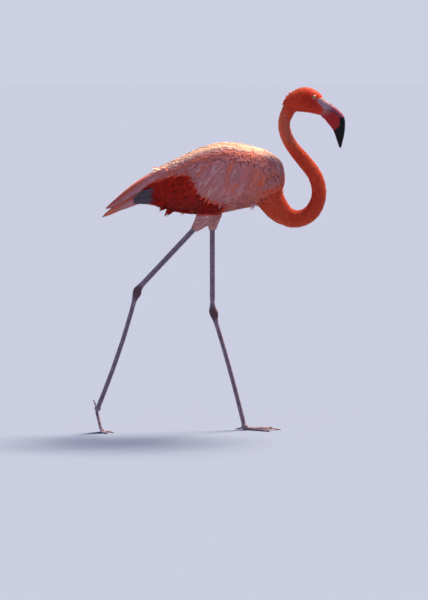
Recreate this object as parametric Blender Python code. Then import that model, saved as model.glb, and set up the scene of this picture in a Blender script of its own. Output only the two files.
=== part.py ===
"""An adult American flamingo, wading with its neck in an S: a still, life-size model.

Metres, +Z up. The bird faces +X, its left side is +Y and the floor is at Z = 0.
The left leg stands in front with its foot flat, and the right leg trails, up on the ends of its toes.
Each solid is the outer form of the plumage, out to the tips of the feathers.
"""

import math

import bmesh
import bpy
import numpy as np

# ---------------------------------------------------------------- driving dimensions

GAP = 0.0003  # clearance between neighbouring pieces
ACROSS = np.array((0.0, 1.0, 0.0))
UP = np.array((0.0, 0.0, 1.0))
SIDES = 24  # points round a section of the trunk

# The trunk, from the breast to the rump: x, top z, bottom z, half-width.
TRUNK = (
    (0.1660, 0.672, 0.650, 0.008),
    (0.1600, 0.700, 0.620, 0.028),
    (0.1420, 0.721, 0.602, 0.044),
    (0.1080, 0.740, 0.592, 0.056),
    (0.0600, 0.752, 0.584, 0.065),
    (0.0080, 0.757, 0.573, 0.068),
    (-0.0520, 0.743, 0.567, 0.064),
    (-0.1120, 0.715, 0.573, 0.053),
    (-0.1660, 0.687, 0.588, 0.038),
    (-0.2140, 0.656, 0.604, 0.020),
)
TRUNK_WAIST = 0.46  # height of the widest line, as a share of the section's height

# The folded wing lies on the trunk: trunk station, degrees down from the back of its
# upper and lower edges, and how far it stands out from the trunk.
WING = (
    (1.35, 74.0, 94.0, 0.004),
    (2.00, 54.0, 106.0, 0.009),
    (3.00, 37.0, 113.0, 0.013),
    (4.00, 27.0, 121.0, 0.015),
    (5.00, 20.0, 133.0, 0.015),
    (6.00, 16.0, 144.0, 0.013),
    (7.00, 14.0, 150.0, 0.011),
    (8.00, 15.0, 150.0, 0.008),
    (8.80, 24.0, 138.0, 0.005),
)
WING_EDGE = 0.0025  # height of the wing's edges above the trunk

# Blades of long feathers behind the wing: x, y, z, half-depth, half-width.
PRIMARIES = (
    (-0.135, 0.040, 0.616, 0.024, 0.0050),
    (-0.175, 0.034, 0.612, 0.022, 0.0045),
    (-0.210, 0.026, 0.609, 0.015, 0.0035),
    (-0.233, 0.019, 0.603, 0.005, 0.0015),
)
TERTIALS = (
    (-0.115, 0.024, 0.686, 0.008, 0.009),
    (-0.160, 0.025, 0.673, 0.017, 0.014),
    (-0.205, 0.019, 0.648, 0.016, 0.013),
    (-0.255, 0.012, 0.613, 0.011, 0.009),
    (-0.296, 0.007, 0.584, 0.003, 0.003),
)
TAIL = (
    (-0.165, 0.0, 0.636, 0.024, 0.024),
    (-0.205, 0.0, 0.619, 0.021, 0.027),
    (-0.250, 0.0, 0.596, 0.015, 0.027),
    (-0.285, 0.0, 0.575, 0.008, 0.019),
    (-0.311, 0.0, 0.559, 0.002, 0.004),
)

# The neck's centreline, from inside the breast to inside the head: x, z, half-depth.
NECK = (
    (0.1120, 0.640, 0.0400),
    (0.1405, 0.5905, 0.0335),
    (0.1720, 0.562, 0.0260),
    (0.2060, 0.557, 0.0220),
    (0.2380, 0.576, 0.0207),
    (0.2555, 0.618, 0.0193),
    (0.2460, 0.667, 0.0187),
    (0.2140, 0.710, 0.0184),
    (0.1845, 0.746, 0.0164),
    (0.1670, 0.782, 0.0157),
    (0.1655, 0.814, 0.0156),
    (0.1790, 0.845, 0.0180),
)
NECK_FLATNESS = 0.90  # the neck's width over its depth
NECK_PIECES = {  # the stations between which each length of the neck runs
    "neck_base": (0.0, 2.0),
    "neck_bend": (2.0, 4.8),
    "neck_middle": (4.8, 8.0),
    "neck_upper": (8.0, 11.0),
}

# The head, from the back of the skull to the bill: x, top z, bottom z, half-width.
HEAD = (
    (0.1660, 0.860, 0.848, 0.006),
    (0.1710, 0.874, 0.840, 0.014),
    (0.1840, 0.886, 0.836, 0.020),
    (0.2050, 0.897, 0.835, 0.023),
    (0.2290, 0.898, 0.832, 0.023),
    (0.2510, 0.888, 0.827, 0.019),
    (0.2660, 0.873, 0.824, 0.0150),
)
HEAD_WAIST = 0.55  # height of its widest line, as a share of its height
HEAD_SIDES = 20
EYE_RADIUS = 0.0062
EYE_PLACE = (0.2415, 0.0158, 0.8730)  # the left eye's centre

# The bill's three lines in side view (x, z), from the base to the tip.
BILL_TOP = ((0.2600, 0.8720), (0.2970, 0.8470), (0.3205, 0.8215), (0.3215, 0.7820), (0.3122, 0.7405))
BILL_GAPE = ((0.2600, 0.8430), (0.2900, 0.8330), (0.3125, 0.8130), (0.3155, 0.7800), (0.3097, 0.7417))
BILL_BOTTOM = ((0.2600, 0.8270), (0.2775, 0.8050), (0.2920, 0.7860), (0.3000, 0.7640), (0.3074, 0.7427))
BILL_UPPER_WIDTH = (0.0120, 0.0105, 0.0110, 0.0080, 0.0022)
BILL_LOWER_WIDTH = (0.0130, 0.0145, 0.0130, 0.0080, 0.0020)

# Legs. The feathered thigh: x, y, z, half-depth, half-width. The shank is the bare part
# above the hock. The hock is where the lines of shank and tarsus cross, and the foot is
# the middle of its ball. The tarsus bows forward by bow.
LEGS = {
    "right": {
        "thigh": (
            (-0.024, -0.036, 0.606, 0.0360, 0.0260),
            (-0.038, -0.038, 0.569, 0.0270, 0.0210),
            (-0.056, -0.039, 0.546, 0.0160, 0.0140),
            (-0.0705, -0.039, 0.531, 0.0092, 0.0084),
        ),
        "hock": (-0.2180, -0.0370, 0.3735),
        "foot": (-0.3210, -0.0360, 0.0640),
        "bow": 0.0055,
        "spread": 20.0,
        "lift": 75.0,
    },
    "left": {
        "thigh": (
            (-0.014, 0.036, 0.606, 0.0260, 0.0240),
            (-0.018, 0.037, 0.566, 0.0210, 0.0190),
            (-0.021, 0.036, 0.543, 0.0145, 0.0135),
            (-0.0225, 0.035, 0.525, 0.0092, 0.0084),
        ),
        "hock": (-0.0220, 0.0310, 0.3120),
        "foot": (0.0620, 0.0180, 0.0091),
        "bow": 0.0025,
        "spread": 30.0,
        "lift": 0.0,
    },
}
SHANK_SIZE = (0.0070, 0.0062)  # half-depth, half-width
TARSUS_SIZE = (0.0059, 0.0052)
# The swelling of the hock: how far down the leg from the bend, how far ahead of the
# leg's line, half-depth, half-width. It starts as the shank and ends as the tarsus.
HOCK = (
    (-0.032, 0.0000, *SHANK_SIZE),
    (-0.020, 0.0000, 0.0072, 0.0064),
    (-0.010, 0.0003, 0.0086, 0.0075),
    (-0.002, 0.0010, 0.0110, 0.0089),
    (0.006, 0.0018, 0.0122, 0.0095),
    (0.014, 0.0014, 0.0107, 0.0086),
    (0.022, 0.0004, 0.0078, 0.0069),
    (0.032, 0.0000, 0.0063, 0.0057),
    (0.044, 0.0000, *TARSUS_SIZE),
)
# The tarsus widens into the foot: share of its length, and the share of TARSUS_SIZE there.
TARSUS_SHAPE = (
    (0.00, 1.00, 1.00),
    (0.06, 1.00, 1.00),
    (0.35, 1.00, 1.00),
    (0.65, 1.00, 1.00),
    (0.88, 1.02, 1.10),
    (0.96, 1.08, 1.26),
    (1.00, 1.10, 1.34),
)
LEG_SIDES = 12  # points round a section of the leg

# Feet: webbed front toes of these lengths, and a small hind toe.
TOES = {"inner": (-1.0, 0.068), "middle": (0.0, 0.086), "outer": (1.0, 0.076)}
TOE_HALF_WIDTH = 0.0040
TOE_HEIGHT = 0.0082
TOE_TAPER = 0.55  # the toe's size at its end over that at its base
WEB_THICKNESS = 0.0016
WEB_NOTCH = 0.80  # how far the web reaches between two toes, over their mean length
WEB_COLUMNS = (0.35, 0.65)  # where the web has its points between two toes
TOE_ROOM = 0.38  # the widest a toe may be near its root, over the room between two toes
TOE_START = 0.006  # where the toes part, inside the ball of the foot
BALL_RADIUS = 0.0088
BALL_HALF_LENGTH = 0.0095
BALL_SHAPE = ((-1.0, 0.55), (-0.75, 0.88), (-0.3, 1.0), (0.3, 1.0), (0.75, 0.88), (1.0, 0.55))
LIFTED_BEND = 0.012  # radius of the bend where a lifted toe meets the floor
HIND_TOE = 0.012
HIND_COVERED = 0.7 * BALL_RADIUS  # the length of the hind toe inside the ball
HIND_ROOT = (0.25, 0.30)  # how far down and inwards it starts, over the ball's radius
HIND_WAY = (0.15, 0.35)  # how far down and inwards it runs, over its way back
HIND_TOE_SIZE = ((0.0035, 0.0033), (0.0022, 0.0021))  # at its root and its end
CLAW_LENGTH = 0.009
CLAW_SIZE = (0.0021, 0.0019)  # half-depth and half-width at its base
CLAW_SHAPE = {0.0: 1.0, 0.2: 0.94, 0.5: 0.76, 0.8: 0.46, 1.0: 0.14}  # size by share of length
CLAW_DROOP = 0.8  # how far a claw drops towards the floor, over its height at the base
CLAW_GAP = 1.3 * GAP  # clearance between a front claw and its toe, which ends in a curve
HIND_CLAW = 0.75  # the hind claw's size over a front one's

SCARLET = (0.72, 0.13, 0.06)
CORAL = (0.85, 0.30, 0.20)
PINK = (0.86, 0.55, 0.50)
CREAM_PINK = (0.93, 0.66, 0.56)
PALE_PINK = (0.88, 0.70, 0.68)
FLIGHT_BLACK = (0.035, 0.030, 0.035)
LEG_MAUVE = (0.34, 0.22, 0.26)
BILL_ROSE = (0.80, 0.42, 0.42)
CLAW_BROWN = (0.12, 0.08, 0.08)
IRIS_YELLOW = (0.85, 0.72, 0.30)


# ---------------------------------------------------------------- tools


def smooth(values, at):
    """The value at a station number on a smooth curve through the values at 0, 1, 2 ..."""
    rows = np.array(values, float)
    last = len(rows) - 1
    at = min(max(at, 0.0), float(last))
    i = min(int(at), last - 1)
    f = at - i
    before, after = rows[max(i - 1, 0)], rows[min(i + 2, last)]
    slope_a = (rows[i + 1] - before) / (2 if i else 1)
    slope_b = (after - rows[i]) / (2 if i < last - 1 else 1)
    square, cube = f * f, f * f * f
    return (
        rows[i] * (2 * cube - 3 * square + 1)
        + slope_a * (cube - 2 * square + f)
        + rows[i + 1] * (3 * square - 2 * cube)
        + slope_b * (cube - square)
    )


def unit(vector):
    return vector / np.linalg.norm(vector)


def surface_of(name, faces_of_points, points, colour, collection):
    """An object from points and faces, with its faces turned outwards."""
    mesh = bmesh.new()
    corners = [mesh.verts.new(point) for point in points]
    for face in faces_of_points:
        mesh.faces.new([corners[i] for i in face])
    bmesh.ops.recalc_face_normals(mesh, faces=mesh.faces)
    data = bpy.data.meshes.new(name)
    mesh.to_mesh(data)
    mesh.free()
    data.shade_smooth()
    data.set_sharp_from_angle(angle=math.radians(50))
    made = bpy.data.objects.new(name, data)
    collection.objects.link(made)
    if colour:
        data.materials.append(finish(name, colour))
    return made


def finish(name, colour, roughness=0.75):
    """A plain material of one colour."""
    material = bpy.data.materials.new(name)
    material.use_nodes = True
    shader = material.node_tree.nodes["Principled BSDF"]
    shader.inputs["Base Color"].default_value = (*colour, 1.0)
    shader.inputs["Roughness"].default_value = roughness
    shader.inputs["Metallic"].default_value = 0.0
    return material


def loft(name, rings, colour, collection):
    """A closed skin over rings of as many points each."""
    count = len(rings[0])
    faces = []
    for k in range(len(rings) - 1):
        low, high = k * count, (k + 1) * count
        for i in range(count):
            j = (i + 1) % count
            faces.append((low + i, low + j, high + j, high + i))
    faces.append(tuple(range(count)))
    faces.append(tuple(range(len(rings) * count - count, len(rings) * count)))
    return surface_of(name, faces, [p for ring in rings for p in ring], colour, collection)


def oval(centre, across, up, half_width, rise, drop, sides):
    """A ring that rises above its centre and drops below it by different amounts."""
    ring = []
    for i in range(sides):
        turn = 2 * math.pi * i / sides
        reach = rise if math.cos(turn) > 0 else drop
        ring.append(centre + across * half_width * math.sin(turn) + up * reach * math.cos(turn))
    return ring


def tube(name, path, sizes, sides, colour, collection, ends=(0.0, 0.0), grow=0.0):
    """A limb along a path, with a (half-depth, half-width) at each of its points.

    ends is how far each end is moved along the path, inwards if positive.
    """
    path = [np.array(point, float) for point in path]
    path[0] = path[0] + unit(path[1] - path[0]) * ends[0]
    path[-1] = path[-1] + unit(path[-2] - path[-1]) * ends[1]
    rings = []
    for i, centre in enumerate(path):
        along = unit(path[min(i + 1, len(path) - 1)] - path[max(i - 1, 0)])
        across = unit(np.cross(along, (0.0, 0.0, 1.0)))
        if abs(across[1]) < 0.5:  # a path that rises straight up keeps its sides to left and right
            across = ACROSS
        across = across * math.copysign(1.0, across[1])
        depth, width = sizes[i][0] + grow, sizes[i][1] + grow
        rings.append(oval(centre, across, unit(np.cross(across, along)), width, depth, depth, sides))
    return loft(name, rings, colour, collection)


def hidden(made):
    """Marks an object as a cutter."""
    made.hide_render = True
    made.display_type = "WIRE"
    return made


def carve(piece, cutters, operation="DIFFERENCE"):
    """Cuts the cutters from a piece, or joins them to it, with Boolean modifiers."""
    for cutter in cutters:
        step = piece.modifiers.new(f"{operation.lower()}_{cutter.name}", "BOOLEAN")
        step.operation = operation
        step.solver = "EXACT"
        step.object = cutter
    return piece


# ---------------------------------------------------------------- trunk, wings and tail


def trunk_section(station, grow=0.0):
    """(x, widest height, rise, drop, half-width) of the trunk at a station."""
    x, top, bottom, half_width = smooth(TRUNK, station)
    waist = bottom + TRUNK_WAIST * (top - bottom)
    return x, waist, top - waist + grow, waist - bottom + grow, half_width + grow


def trunk_point(station, degrees, side, grow):
    """A point on the trunk, at an angle down from the back on one side, lifted by grow."""
    x, waist, rise, drop, half_width = trunk_section(station, grow)
    turn = math.radians(degrees)
    reach = rise if math.cos(turn) > 0 else drop
    return np.array((x, side * half_width * math.sin(turn), waist + reach * math.cos(turn)))


def make_trunk(name, colour, collection, grow=0.0):
    rings = []
    last = 2 * (len(TRUNK) - 1)
    for k in range(last + 1):
        x, waist, rise, drop, half_width = trunk_section(k / 2, grow)
        if k == 0:
            x += grow
        if k == last:
            x -= grow
        rings.append(oval(np.array((x, 0.0, waist)), ACROSS, UP, half_width, rise, drop, SIDES))
    return loft(name, rings, colour, collection)


def make_wing(name, side, colour, collection, grow=0.0):
    """The folded wing over the trunk. Its inner face is buried, and the trunk cuts it."""
    rows, columns = 16, 8
    buried = -0.006
    steep = 0.25  # the share of the wing's length in which it rises to its full thickness
    outer, inner = [], []
    for k in range(rows + 1):
        station, upper, lower, stand = smooth(WING, k / rows * (len(WING) - 1))
        if grow:
            upper, lower = upper - 1.0, lower + 1.0
        for i in range(columns + 1):
            f = i / columns
            swell = (4 * f * (1 - f)) ** 0.6 * math.sin(math.pi * min(1.0, steep + k / rows)) ** 0.5
            height = WING_EDGE + (stand - WING_EDGE) * swell + grow
            degrees = upper + (lower - upper) * f
            outer.append(trunk_point(station, degrees, side, height))
            inner.append(trunk_point(station, degrees, side, buried))
    return closed_sheet(name, outer, inner, rows, columns, colour, collection)


def closed_sheet(name, outer, inner, rows, columns, colour, collection):
    """A solid between two grids of (rows + 1) x (columns + 1) points."""
    wide = columns + 1
    shift = len(outer)
    faces = []
    for k in range(rows):
        for i in range(columns):
            a = k * wide + i
            b, c, d = a + 1, a + wide + 1, a + wide
            faces.append((a, b, c, d))
            faces.append((a + shift, d + shift, c + shift, b + shift))
    rim = [i for i in range(columns)]
    rim += [k * wide + columns for k in range(rows)]
    rim += [rows * wide + i for i in range(columns, 0, -1)]
    rim += [k * wide for k in range(rows, 0, -1)]
    for a, b in zip(rim, rim[1:] + rim[:1]):
        faces.append((a, a + shift, b + shift, b))
    return surface_of(name, faces, [*outer, *inner], colour, collection)


def make_blade(name, side, stations, colour, collection, grow=0.0):
    """A tapering blade of long feathers, such as the wing tip or the tail."""
    steps = 2 * (len(stations) - 1)
    points = [smooth(stations, k / 2) for k in range(steps + 1)]
    path = [(p[0], p[1] * side, p[2]) for p in points]
    sizes = [(p[3], p[4]) for p in points]
    return tube(name, path, sizes, 14, colour, collection, ends=(-grow, -grow), grow=grow)


def make_body(parts, cutters):
    make_trunk("trunk", CREAM_PINK, parts)
    trunk_cut = hidden(make_trunk("trunk_cutter", None, cutters, GAP))
    tail_cut = hidden(make_blade("tail_cutter", 1, TAIL, None, cutters, 2 * GAP))
    cuts = {"trunk": trunk_cut, "tail": tail_cut}
    tail_cutters = [trunk_cut]
    for label, side in (("right", -1), ("left", 1)):
        wing = carve(make_wing(f"wing_{label}", side, PINK, parts), [trunk_cut])
        wing_cut = hidden(make_wing(f"wing_{label}_cutter", side, None, cutters, GAP))
        cuts[f"wing_{label}"] = wing_cut
        primaries = make_blade(f"primaries_{label}", side, PRIMARIES, FLIGHT_BLACK, parts)
        carve(primaries, [trunk_cut, wing_cut, tail_cut])
        primaries_cut = make_blade(f"primaries_{label}_cutter", side, PRIMARIES, None, cutters, GAP)
        tertials = make_blade(f"tertials_{label}", side, TERTIALS, CORAL, parts)
        middle = hidden(make_middle_cut(f"middle_{label}_cutter", side, cutters))
        carve(tertials, [middle, trunk_cut, wing_cut, hidden(primaries_cut), tail_cut])
        tail_cutters.append(wing_cut)
        cuts[f"trunk_and_wing_{label}"] = [trunk_cut, wing_cut]
    carve(make_blade("tail", 1, TAIL, CORAL, parts), tail_cutters)
    return cuts


def make_middle_cut(name, side, collection):
    """A block over the far side of the mid plane, which keeps paired pieces apart."""
    low_x, high_x, low_z, high_z, reach = -0.36, 0.0, 0.52, 0.80, 0.10
    near, far = side * GAP / 2, -side * reach
    square = ((low_x, low_z), (high_x, low_z), (high_x, high_z), (low_x, high_z))
    rings = [[np.array((x, y, z)) for x, z in square] for y in (near, far)]
    return loft(name, rings, None, collection)


# ---------------------------------------------------------------- neck and head


def neck_ring(station, sides, grow=0.0):
    x, z, depth = smooth(NECK, station)
    step = 0.05
    ahead, behind = smooth(NECK, station + step), smooth(NECK, station - step)
    along = unit(np.array((ahead[0] - behind[0], 0.0, ahead[1] - behind[1])))
    up = np.cross(along, ACROSS)
    half = depth + grow
    return oval(np.array((x, 0.0, z)), ACROSS, up, half * NECK_FLATNESS, half, half, sides)


def make_neck(parts, cuts, head_cut):
    """The neck in four lengths, parted by thin cuts across it."""
    rings_per_station, sides = 2.5, 16
    for name, (start, end) in NECK_PIECES.items():
        shares = max(2, round((end - start) * rings_per_station))
        first = np.array(smooth(NECK, start)[:2])
        spacing = np.linalg.norm(np.array(smooth(NECK, start + 0.1)[:2]) - first) / 0.1
        parting = GAP / spacing if start > 0 else 0.0
        stations = [start + parting + (end - start - parting) * k / shares for k in range(shares + 1)]
        piece = loft(name, [neck_ring(s, sides) for s in stations], SCARLET, parts)
        if name == "neck_base":
            carve(piece, [cuts["trunk"], cuts["wing_right"], cuts["wing_left"]])
        if name == "neck_upper":
            carve(piece, [head_cut])


def make_head(name, colour, collection, grow=0.0):
    rings = []
    last = 2 * (len(HEAD) - 1)
    for k in range(last + 1):
        x, top, bottom, half_width = smooth(HEAD, k / 2)
        waist = bottom + HEAD_WAIST * (top - bottom)
        if grow:
            x += grow * (2 * k / last - 1)
        centre = np.array((x, 0.0, waist))
        rise, drop = top - waist + grow, waist - bottom + grow
        rings.append(oval(centre, ACROSS, UP, half_width + grow, rise, drop, HEAD_SIDES))
    return loft(name, rings, colour, collection)


def make_eye(label, side, parts, cutters, head):
    """An eyeball in a socket cut from the head."""
    x, y, z = EYE_PLACE
    balls = ((f"eye_{label}", EYE_RADIUS, parts), (f"socket_{label}", EYE_RADIUS + GAP, cutters))
    for name, radius, collection in balls:
        place = (x, side * y, z)
        bpy.ops.mesh.primitive_uv_sphere_add(segments=12, ring_count=8, radius=radius, location=place)
        ball = bpy.context.active_object
        ball.name = name
        ball.data.shade_smooth()
        for owner in list(ball.users_collection):
            owner.objects.unlink(ball)
        collection.objects.link(ball)
        if collection is parts:
            ball.data.materials.append(finish(name, IRIS_YELLOW, 0.1))
        else:
            carve(head, [hidden(ball)])


def half_section(gape, edge, half_width, sides, inset):
    """A flat-based arch from the gape line out to an edge of the bill."""
    out = edge - gape
    reach = np.linalg.norm(out)
    direction = out / reach
    base = gape + direction * inset
    ring = []
    for i in range(sides + 1):
        turn = math.pi * i / sides
        swell = math.copysign(abs(math.cos(turn)) ** 0.8, math.cos(turn))
        rise = (reach - inset) * math.sin(turn) ** 0.9
        ring.append(base + ACROSS * half_width * swell + direction * rise)
    return ring


def make_mandible(name, edge_line, widths, collection):
    steps, sides = 12, 10
    rings = []
    for k in range(steps + 1):
        at = k / steps * (len(BILL_GAPE) - 1)
        gape_x, gape_z = smooth(BILL_GAPE, at)
        edge_x, edge_z = smooth(edge_line, at)
        gape, edge = np.array((gape_x, 0.0, gape_z)), np.array((edge_x, 0.0, edge_z))
        width = smooth([(w,) for w in widths], at)[0]
        rings.append(half_section(gape, edge, width, sides, GAP / 2))
    return loft(name, rings, BILL_ROSE, collection)


def make_head_and_neck(parts, cutters, cuts):
    head = make_head("head", SCARLET, parts)
    head_cut = hidden(make_head("head_cutter", None, cutters, GAP))
    make_neck(parts, cuts, head_cut)
    for label, side in (("right", -1), ("left", 1)):
        make_eye(label, side, parts, cutters, head)
    carve(make_mandible("bill_upper", BILL_TOP, BILL_UPPER_WIDTH, parts), [head_cut])
    carve(make_mandible("bill_lower", BILL_BOTTOM, BILL_LOWER_WIDTH, parts), [head_cut])


# ---------------------------------------------------------------- legs and feet


def sole_path(distance, lift, ball_height):
    """(forward, up, slope) of the sole at a distance along it from under the ball of the foot.

    A flat sole runs forward. A lifted one runs down at the angle of lift, then bends forward
    on the floor.
    """
    if not lift:
        return distance, 0.0, 0.0
    angle = math.radians(lift)
    start_forward = -BALL_RADIUS * math.sin(angle)
    start_up = ball_height - BALL_RADIUS * math.cos(angle)
    bend_drop = LIFTED_BEND * (1 - math.cos(angle))
    straight = (start_up - bend_drop) / math.sin(angle)
    if distance < straight:
        return start_forward + distance * math.cos(angle), start_up - distance * math.sin(angle), -angle
    turned = min((distance - straight) / LIFTED_BEND, angle)
    slope = turned - angle
    forward = start_forward + straight * math.cos(angle)
    forward += LIFTED_BEND * (math.sin(angle) + math.sin(slope))
    flat = max(0.0, distance - straight - LIFTED_BEND * angle)
    return forward + flat, LIFTED_BEND * (1 - math.cos(slope)), slope


def foot_point(leg, side, reach, degrees, offset, height):
    """A point of the foot: reach along a toe's line, offset across it, height above the sole."""
    turn = math.radians(degrees)
    ahead = reach * math.cos(turn) - offset * math.sin(turn)
    aside = reach * math.sin(turn) + offset * math.cos(turn)
    x, y, ball_height = leg["foot"]
    forward, up, slope = sole_path(ahead, leg["lift"], ball_height)
    return np.array(
        (x + forward - height * math.sin(slope), y + side * aside, up + height * math.cos(slope))
    )


def toe_scale(f):
    return 1 - (1 - TOE_TAPER) * f


def make_toes(name, leg, side, collection):
    """The three front toes and the webs between them, as one sheet with a flat sole."""
    rings = 7
    across_toe = ((-1.0, 0.0), (-0.55, 0.85), (0.0, 1.0), (0.55, 0.85), (1.0, 0.0))
    order = sorted(TOES.values())
    outer, inner = [], []
    for k in range(rings + 1):
        f = k / rings
        for j, (turn, length) in enumerate(order):
            reach = TOE_START + f * (length - TOE_START)
            degrees = turn * leg["spread"]
            room = TOE_ROOM * reach * math.sin(math.radians(leg["spread"]))
            half_width = min(TOE_HALF_WIDTH * toe_scale(f), room)
            for offset, share in across_toe:
                height = WEB_THICKNESS + share * (TOE_HEIGHT * toe_scale(f) - WEB_THICKNESS)
                place = (leg, side, reach, degrees, offset * half_width)
                outer.append(foot_point(*place, height))
                inner.append(foot_point(*place, 0.0))
            if j == len(order) - 1:
                continue
            following, other_length = order[j + 1]
            notch = TOE_START + f * (WEB_NOTCH * (length + other_length) / 2 - TOE_START)
            for share in WEB_COLUMNS:
                degrees_between = (turn + share * (following - turn)) * leg["spread"]
                outer.append(foot_point(leg, side, notch, degrees_between, 0.0, WEB_THICKNESS))
                inner.append(foot_point(leg, side, notch, degrees_between, 0.0, 0.0))
    columns = len(outer) // (rings + 1) - 1
    return closed_sheet(name, outer, inner, rings, columns, LEG_MAUVE, collection)


def make_foot(label, side, parts, cutters):
    leg = LEGS[label]
    foot = make_toes(f"foot_{label}", leg, side, parts)
    centre = np.array(leg["foot"])
    angle = math.radians(leg["lift"])
    ball = make_ball(f"ball_{label}", centre, angle, 0.0, cutters)
    back = np.array((-math.cos(angle), 0.0, math.sin(angle)))
    down = np.array((-math.sin(angle), 0.0, -math.cos(angle)))
    inward = np.array((0.0, -side, 0.0))
    hind_root = centre + (down * HIND_ROOT[0] + inward * HIND_ROOT[1]) * BALL_RADIUS
    hind_way = back + down * HIND_WAY[0] + inward * HIND_WAY[1]
    hind_tip = hind_root + hind_way * (HIND_COVERED + HIND_TOE)
    hind = tube(f"hind_toe_{label}", [hind_root, hind_tip], HIND_TOE_SIZE, 10, None, cutters)
    carve(foot, [hidden(ball), hidden(hind)], "UNION")
    along = unit(hind_tip - hind_root)
    reaches = [GAP + CLAW_LENGTH * HIND_CLAW * share for share in CLAW_SHAPE]
    make_claw(f"claw_hind_{label}", [hind_tip + along * reach for reach in reaches], HIND_CLAW, parts)
    for toe, (turn, length) in TOES.items():
        path = []
        for share in CLAW_SHAPE:
            height = TOE_HEIGHT * TOE_TAPER / 2 * (1 - CLAW_DROOP * share)
            reach = length + CLAW_GAP + CLAW_LENGTH * share
            path.append(foot_point(leg, side, reach, turn * leg["spread"], 0.0, height))
        make_claw(f"claw_{toe}_{label}", path, 1.0, parts)


def make_ball(name, centre, angle, grow, collection):
    """The ball of the foot: a rounded drum that lies across the foot."""
    rings = []
    for share, size in BALL_SHAPE:
        ring = []
        for i in range(LEG_SIDES):
            turn = 2 * math.pi * (i + 0.5) / LEG_SIDES - angle
            reach = (BALL_RADIUS + grow) * size
            place = (math.cos(turn) * reach, share * (BALL_HALF_LENGTH + grow), math.sin(turn) * reach)
            ring.append(centre + np.array(place))
        rings.append(ring)
    return loft(name, rings, None, collection)


def make_claw(name, path, scale, collection):
    """A short pointed claw whose lower side stays above the floor."""
    sizes = [(CLAW_SIZE[0] * scale * size, CLAW_SIZE[1] * scale * size) for size in CLAW_SHAPE.values()]
    lifted = []
    for point, (depth, _) in zip(path, sizes):
        lifted.append(np.array((point[0], point[1], max(point[2], depth))))
    tube(name, lifted, sizes, 6, CLAW_BROWN, collection)


def make_leg(label, side, parts, cutters, cuts):
    leg = LEGS[label]
    make_foot(label, side, parts, cutters)
    rows = [smooth(leg["thigh"], k / 2) for k in range(2 * len(leg["thigh"]) - 1)]
    path, sizes = [row[:3] for row in rows], [row[3:] for row in rows]
    thigh = tube(f"thigh_{label}", path, sizes, 16, PALE_PINK, parts)
    carve(thigh, cuts[f"trunk_and_wing_{label}"])
    thigh_cut = hidden(tube(f"thigh_{label}_cutter", path, sizes, 16, None, cutters, (-GAP, -GAP), GAP))

    thigh_end, hock, foot = path[-1], np.array(leg["hock"]), np.array(leg["foot"])
    down_shank = unit(hock - thigh_end)
    ahead = unit(np.cross((0.0, 1.0, 0.0), hock - foot))
    bulge = (hock + foot) / 2 + ahead * 2 * leg["bow"]
    down_tarsus = unit(bulge - hock)
    joint = []
    for along, forward, _, _ in HOCK:
        down = down_shank if along < 0 else down_tarsus
        joint.append(hock + down * along + ahead * forward)
    hock_sizes = [row[2:] for row in HOCK]
    buried = -0.06  # the shank starts this share of its length inside the thigh
    shank = [thigh_end + (joint[0] - thigh_end) * f for f in (buried, 0.5, 1.0)]
    carve(tube(f"shank_{label}", shank, [SHANK_SIZE] * 3, LEG_SIDES, LEG_MAUVE, parts), [thigh_cut])
    tube(f"hock_{label}", joint, hock_sizes, LEG_SIDES, LEG_MAUVE, parts, ends=(GAP, GAP))
    tarsus, tarsus_sizes = [], []
    depth, width = TARSUS_SIZE
    for f, deeper, wider in TARSUS_SHAPE:
        tarsus.append(joint[-1] * (1 - f) ** 2 + bulge * 2 * f * (1 - f) + foot * f * f)
        tarsus_sizes.append((depth * deeper, width * wider))
    made = tube(f"tarsus_{label}", tarsus, tarsus_sizes, LEG_SIDES, LEG_MAUVE, parts)
    cut = make_ball(f"ball_{label}_cutter", foot, math.radians(leg["lift"]), GAP, cutters)
    carve(made, [hidden(cut)])


# ---------------------------------------------------------------- the bird


def clear_scene():
    for thing in list(bpy.data.objects):
        bpy.data.objects.remove(thing)


def centre_on_floor(parts, cutters):
    """Moves everything along X so that the middle of the bird's length is over the origin."""
    bpy.context.view_layer.update()
    graph = bpy.context.evaluated_depsgraph_get()
    reach = []
    for made in parts.objects:
        mesh = made.evaluated_get(graph).to_mesh()
        reach += [(made.matrix_world @ vertex.co).x for vertex in mesh.vertices]
    middle = (min(reach) + max(reach)) / 2
    for made in [*parts.objects, *cutters.objects]:
        made.location.x -= middle


def main():
    clear_scene()
    parts = bpy.data.collections.new("flamingo")
    cutters = bpy.data.collections.new("cutters")
    for collection in (parts, cutters):
        bpy.context.scene.collection.children.link(collection)
    cuts = make_body(parts, cutters)
    make_head_and_neck(parts, cutters, cuts)
    for label, side in (("right", -1), ("left", 1)):
        make_leg(label, side, parts, cutters, cuts)
    centre_on_floor(parts, cutters)


main()
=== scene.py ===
"""The finish of an adult American flamingo: skin, plumage, bill, eyes, legs, light and camera.

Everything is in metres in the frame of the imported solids. The bird faces +X and its left side is +Y.
One skin lies inside the solids of flesh by the depth of the coat. The coat is feathers of solid mesh,
each walked over the body from its root along the lie of the plumage.
"""

import heapq
import math
from dataclasses import dataclass, replace

import bmesh
import bpy
import numpy as np
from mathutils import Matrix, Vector
from mathutils.bvhtree import BVHTree


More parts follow.
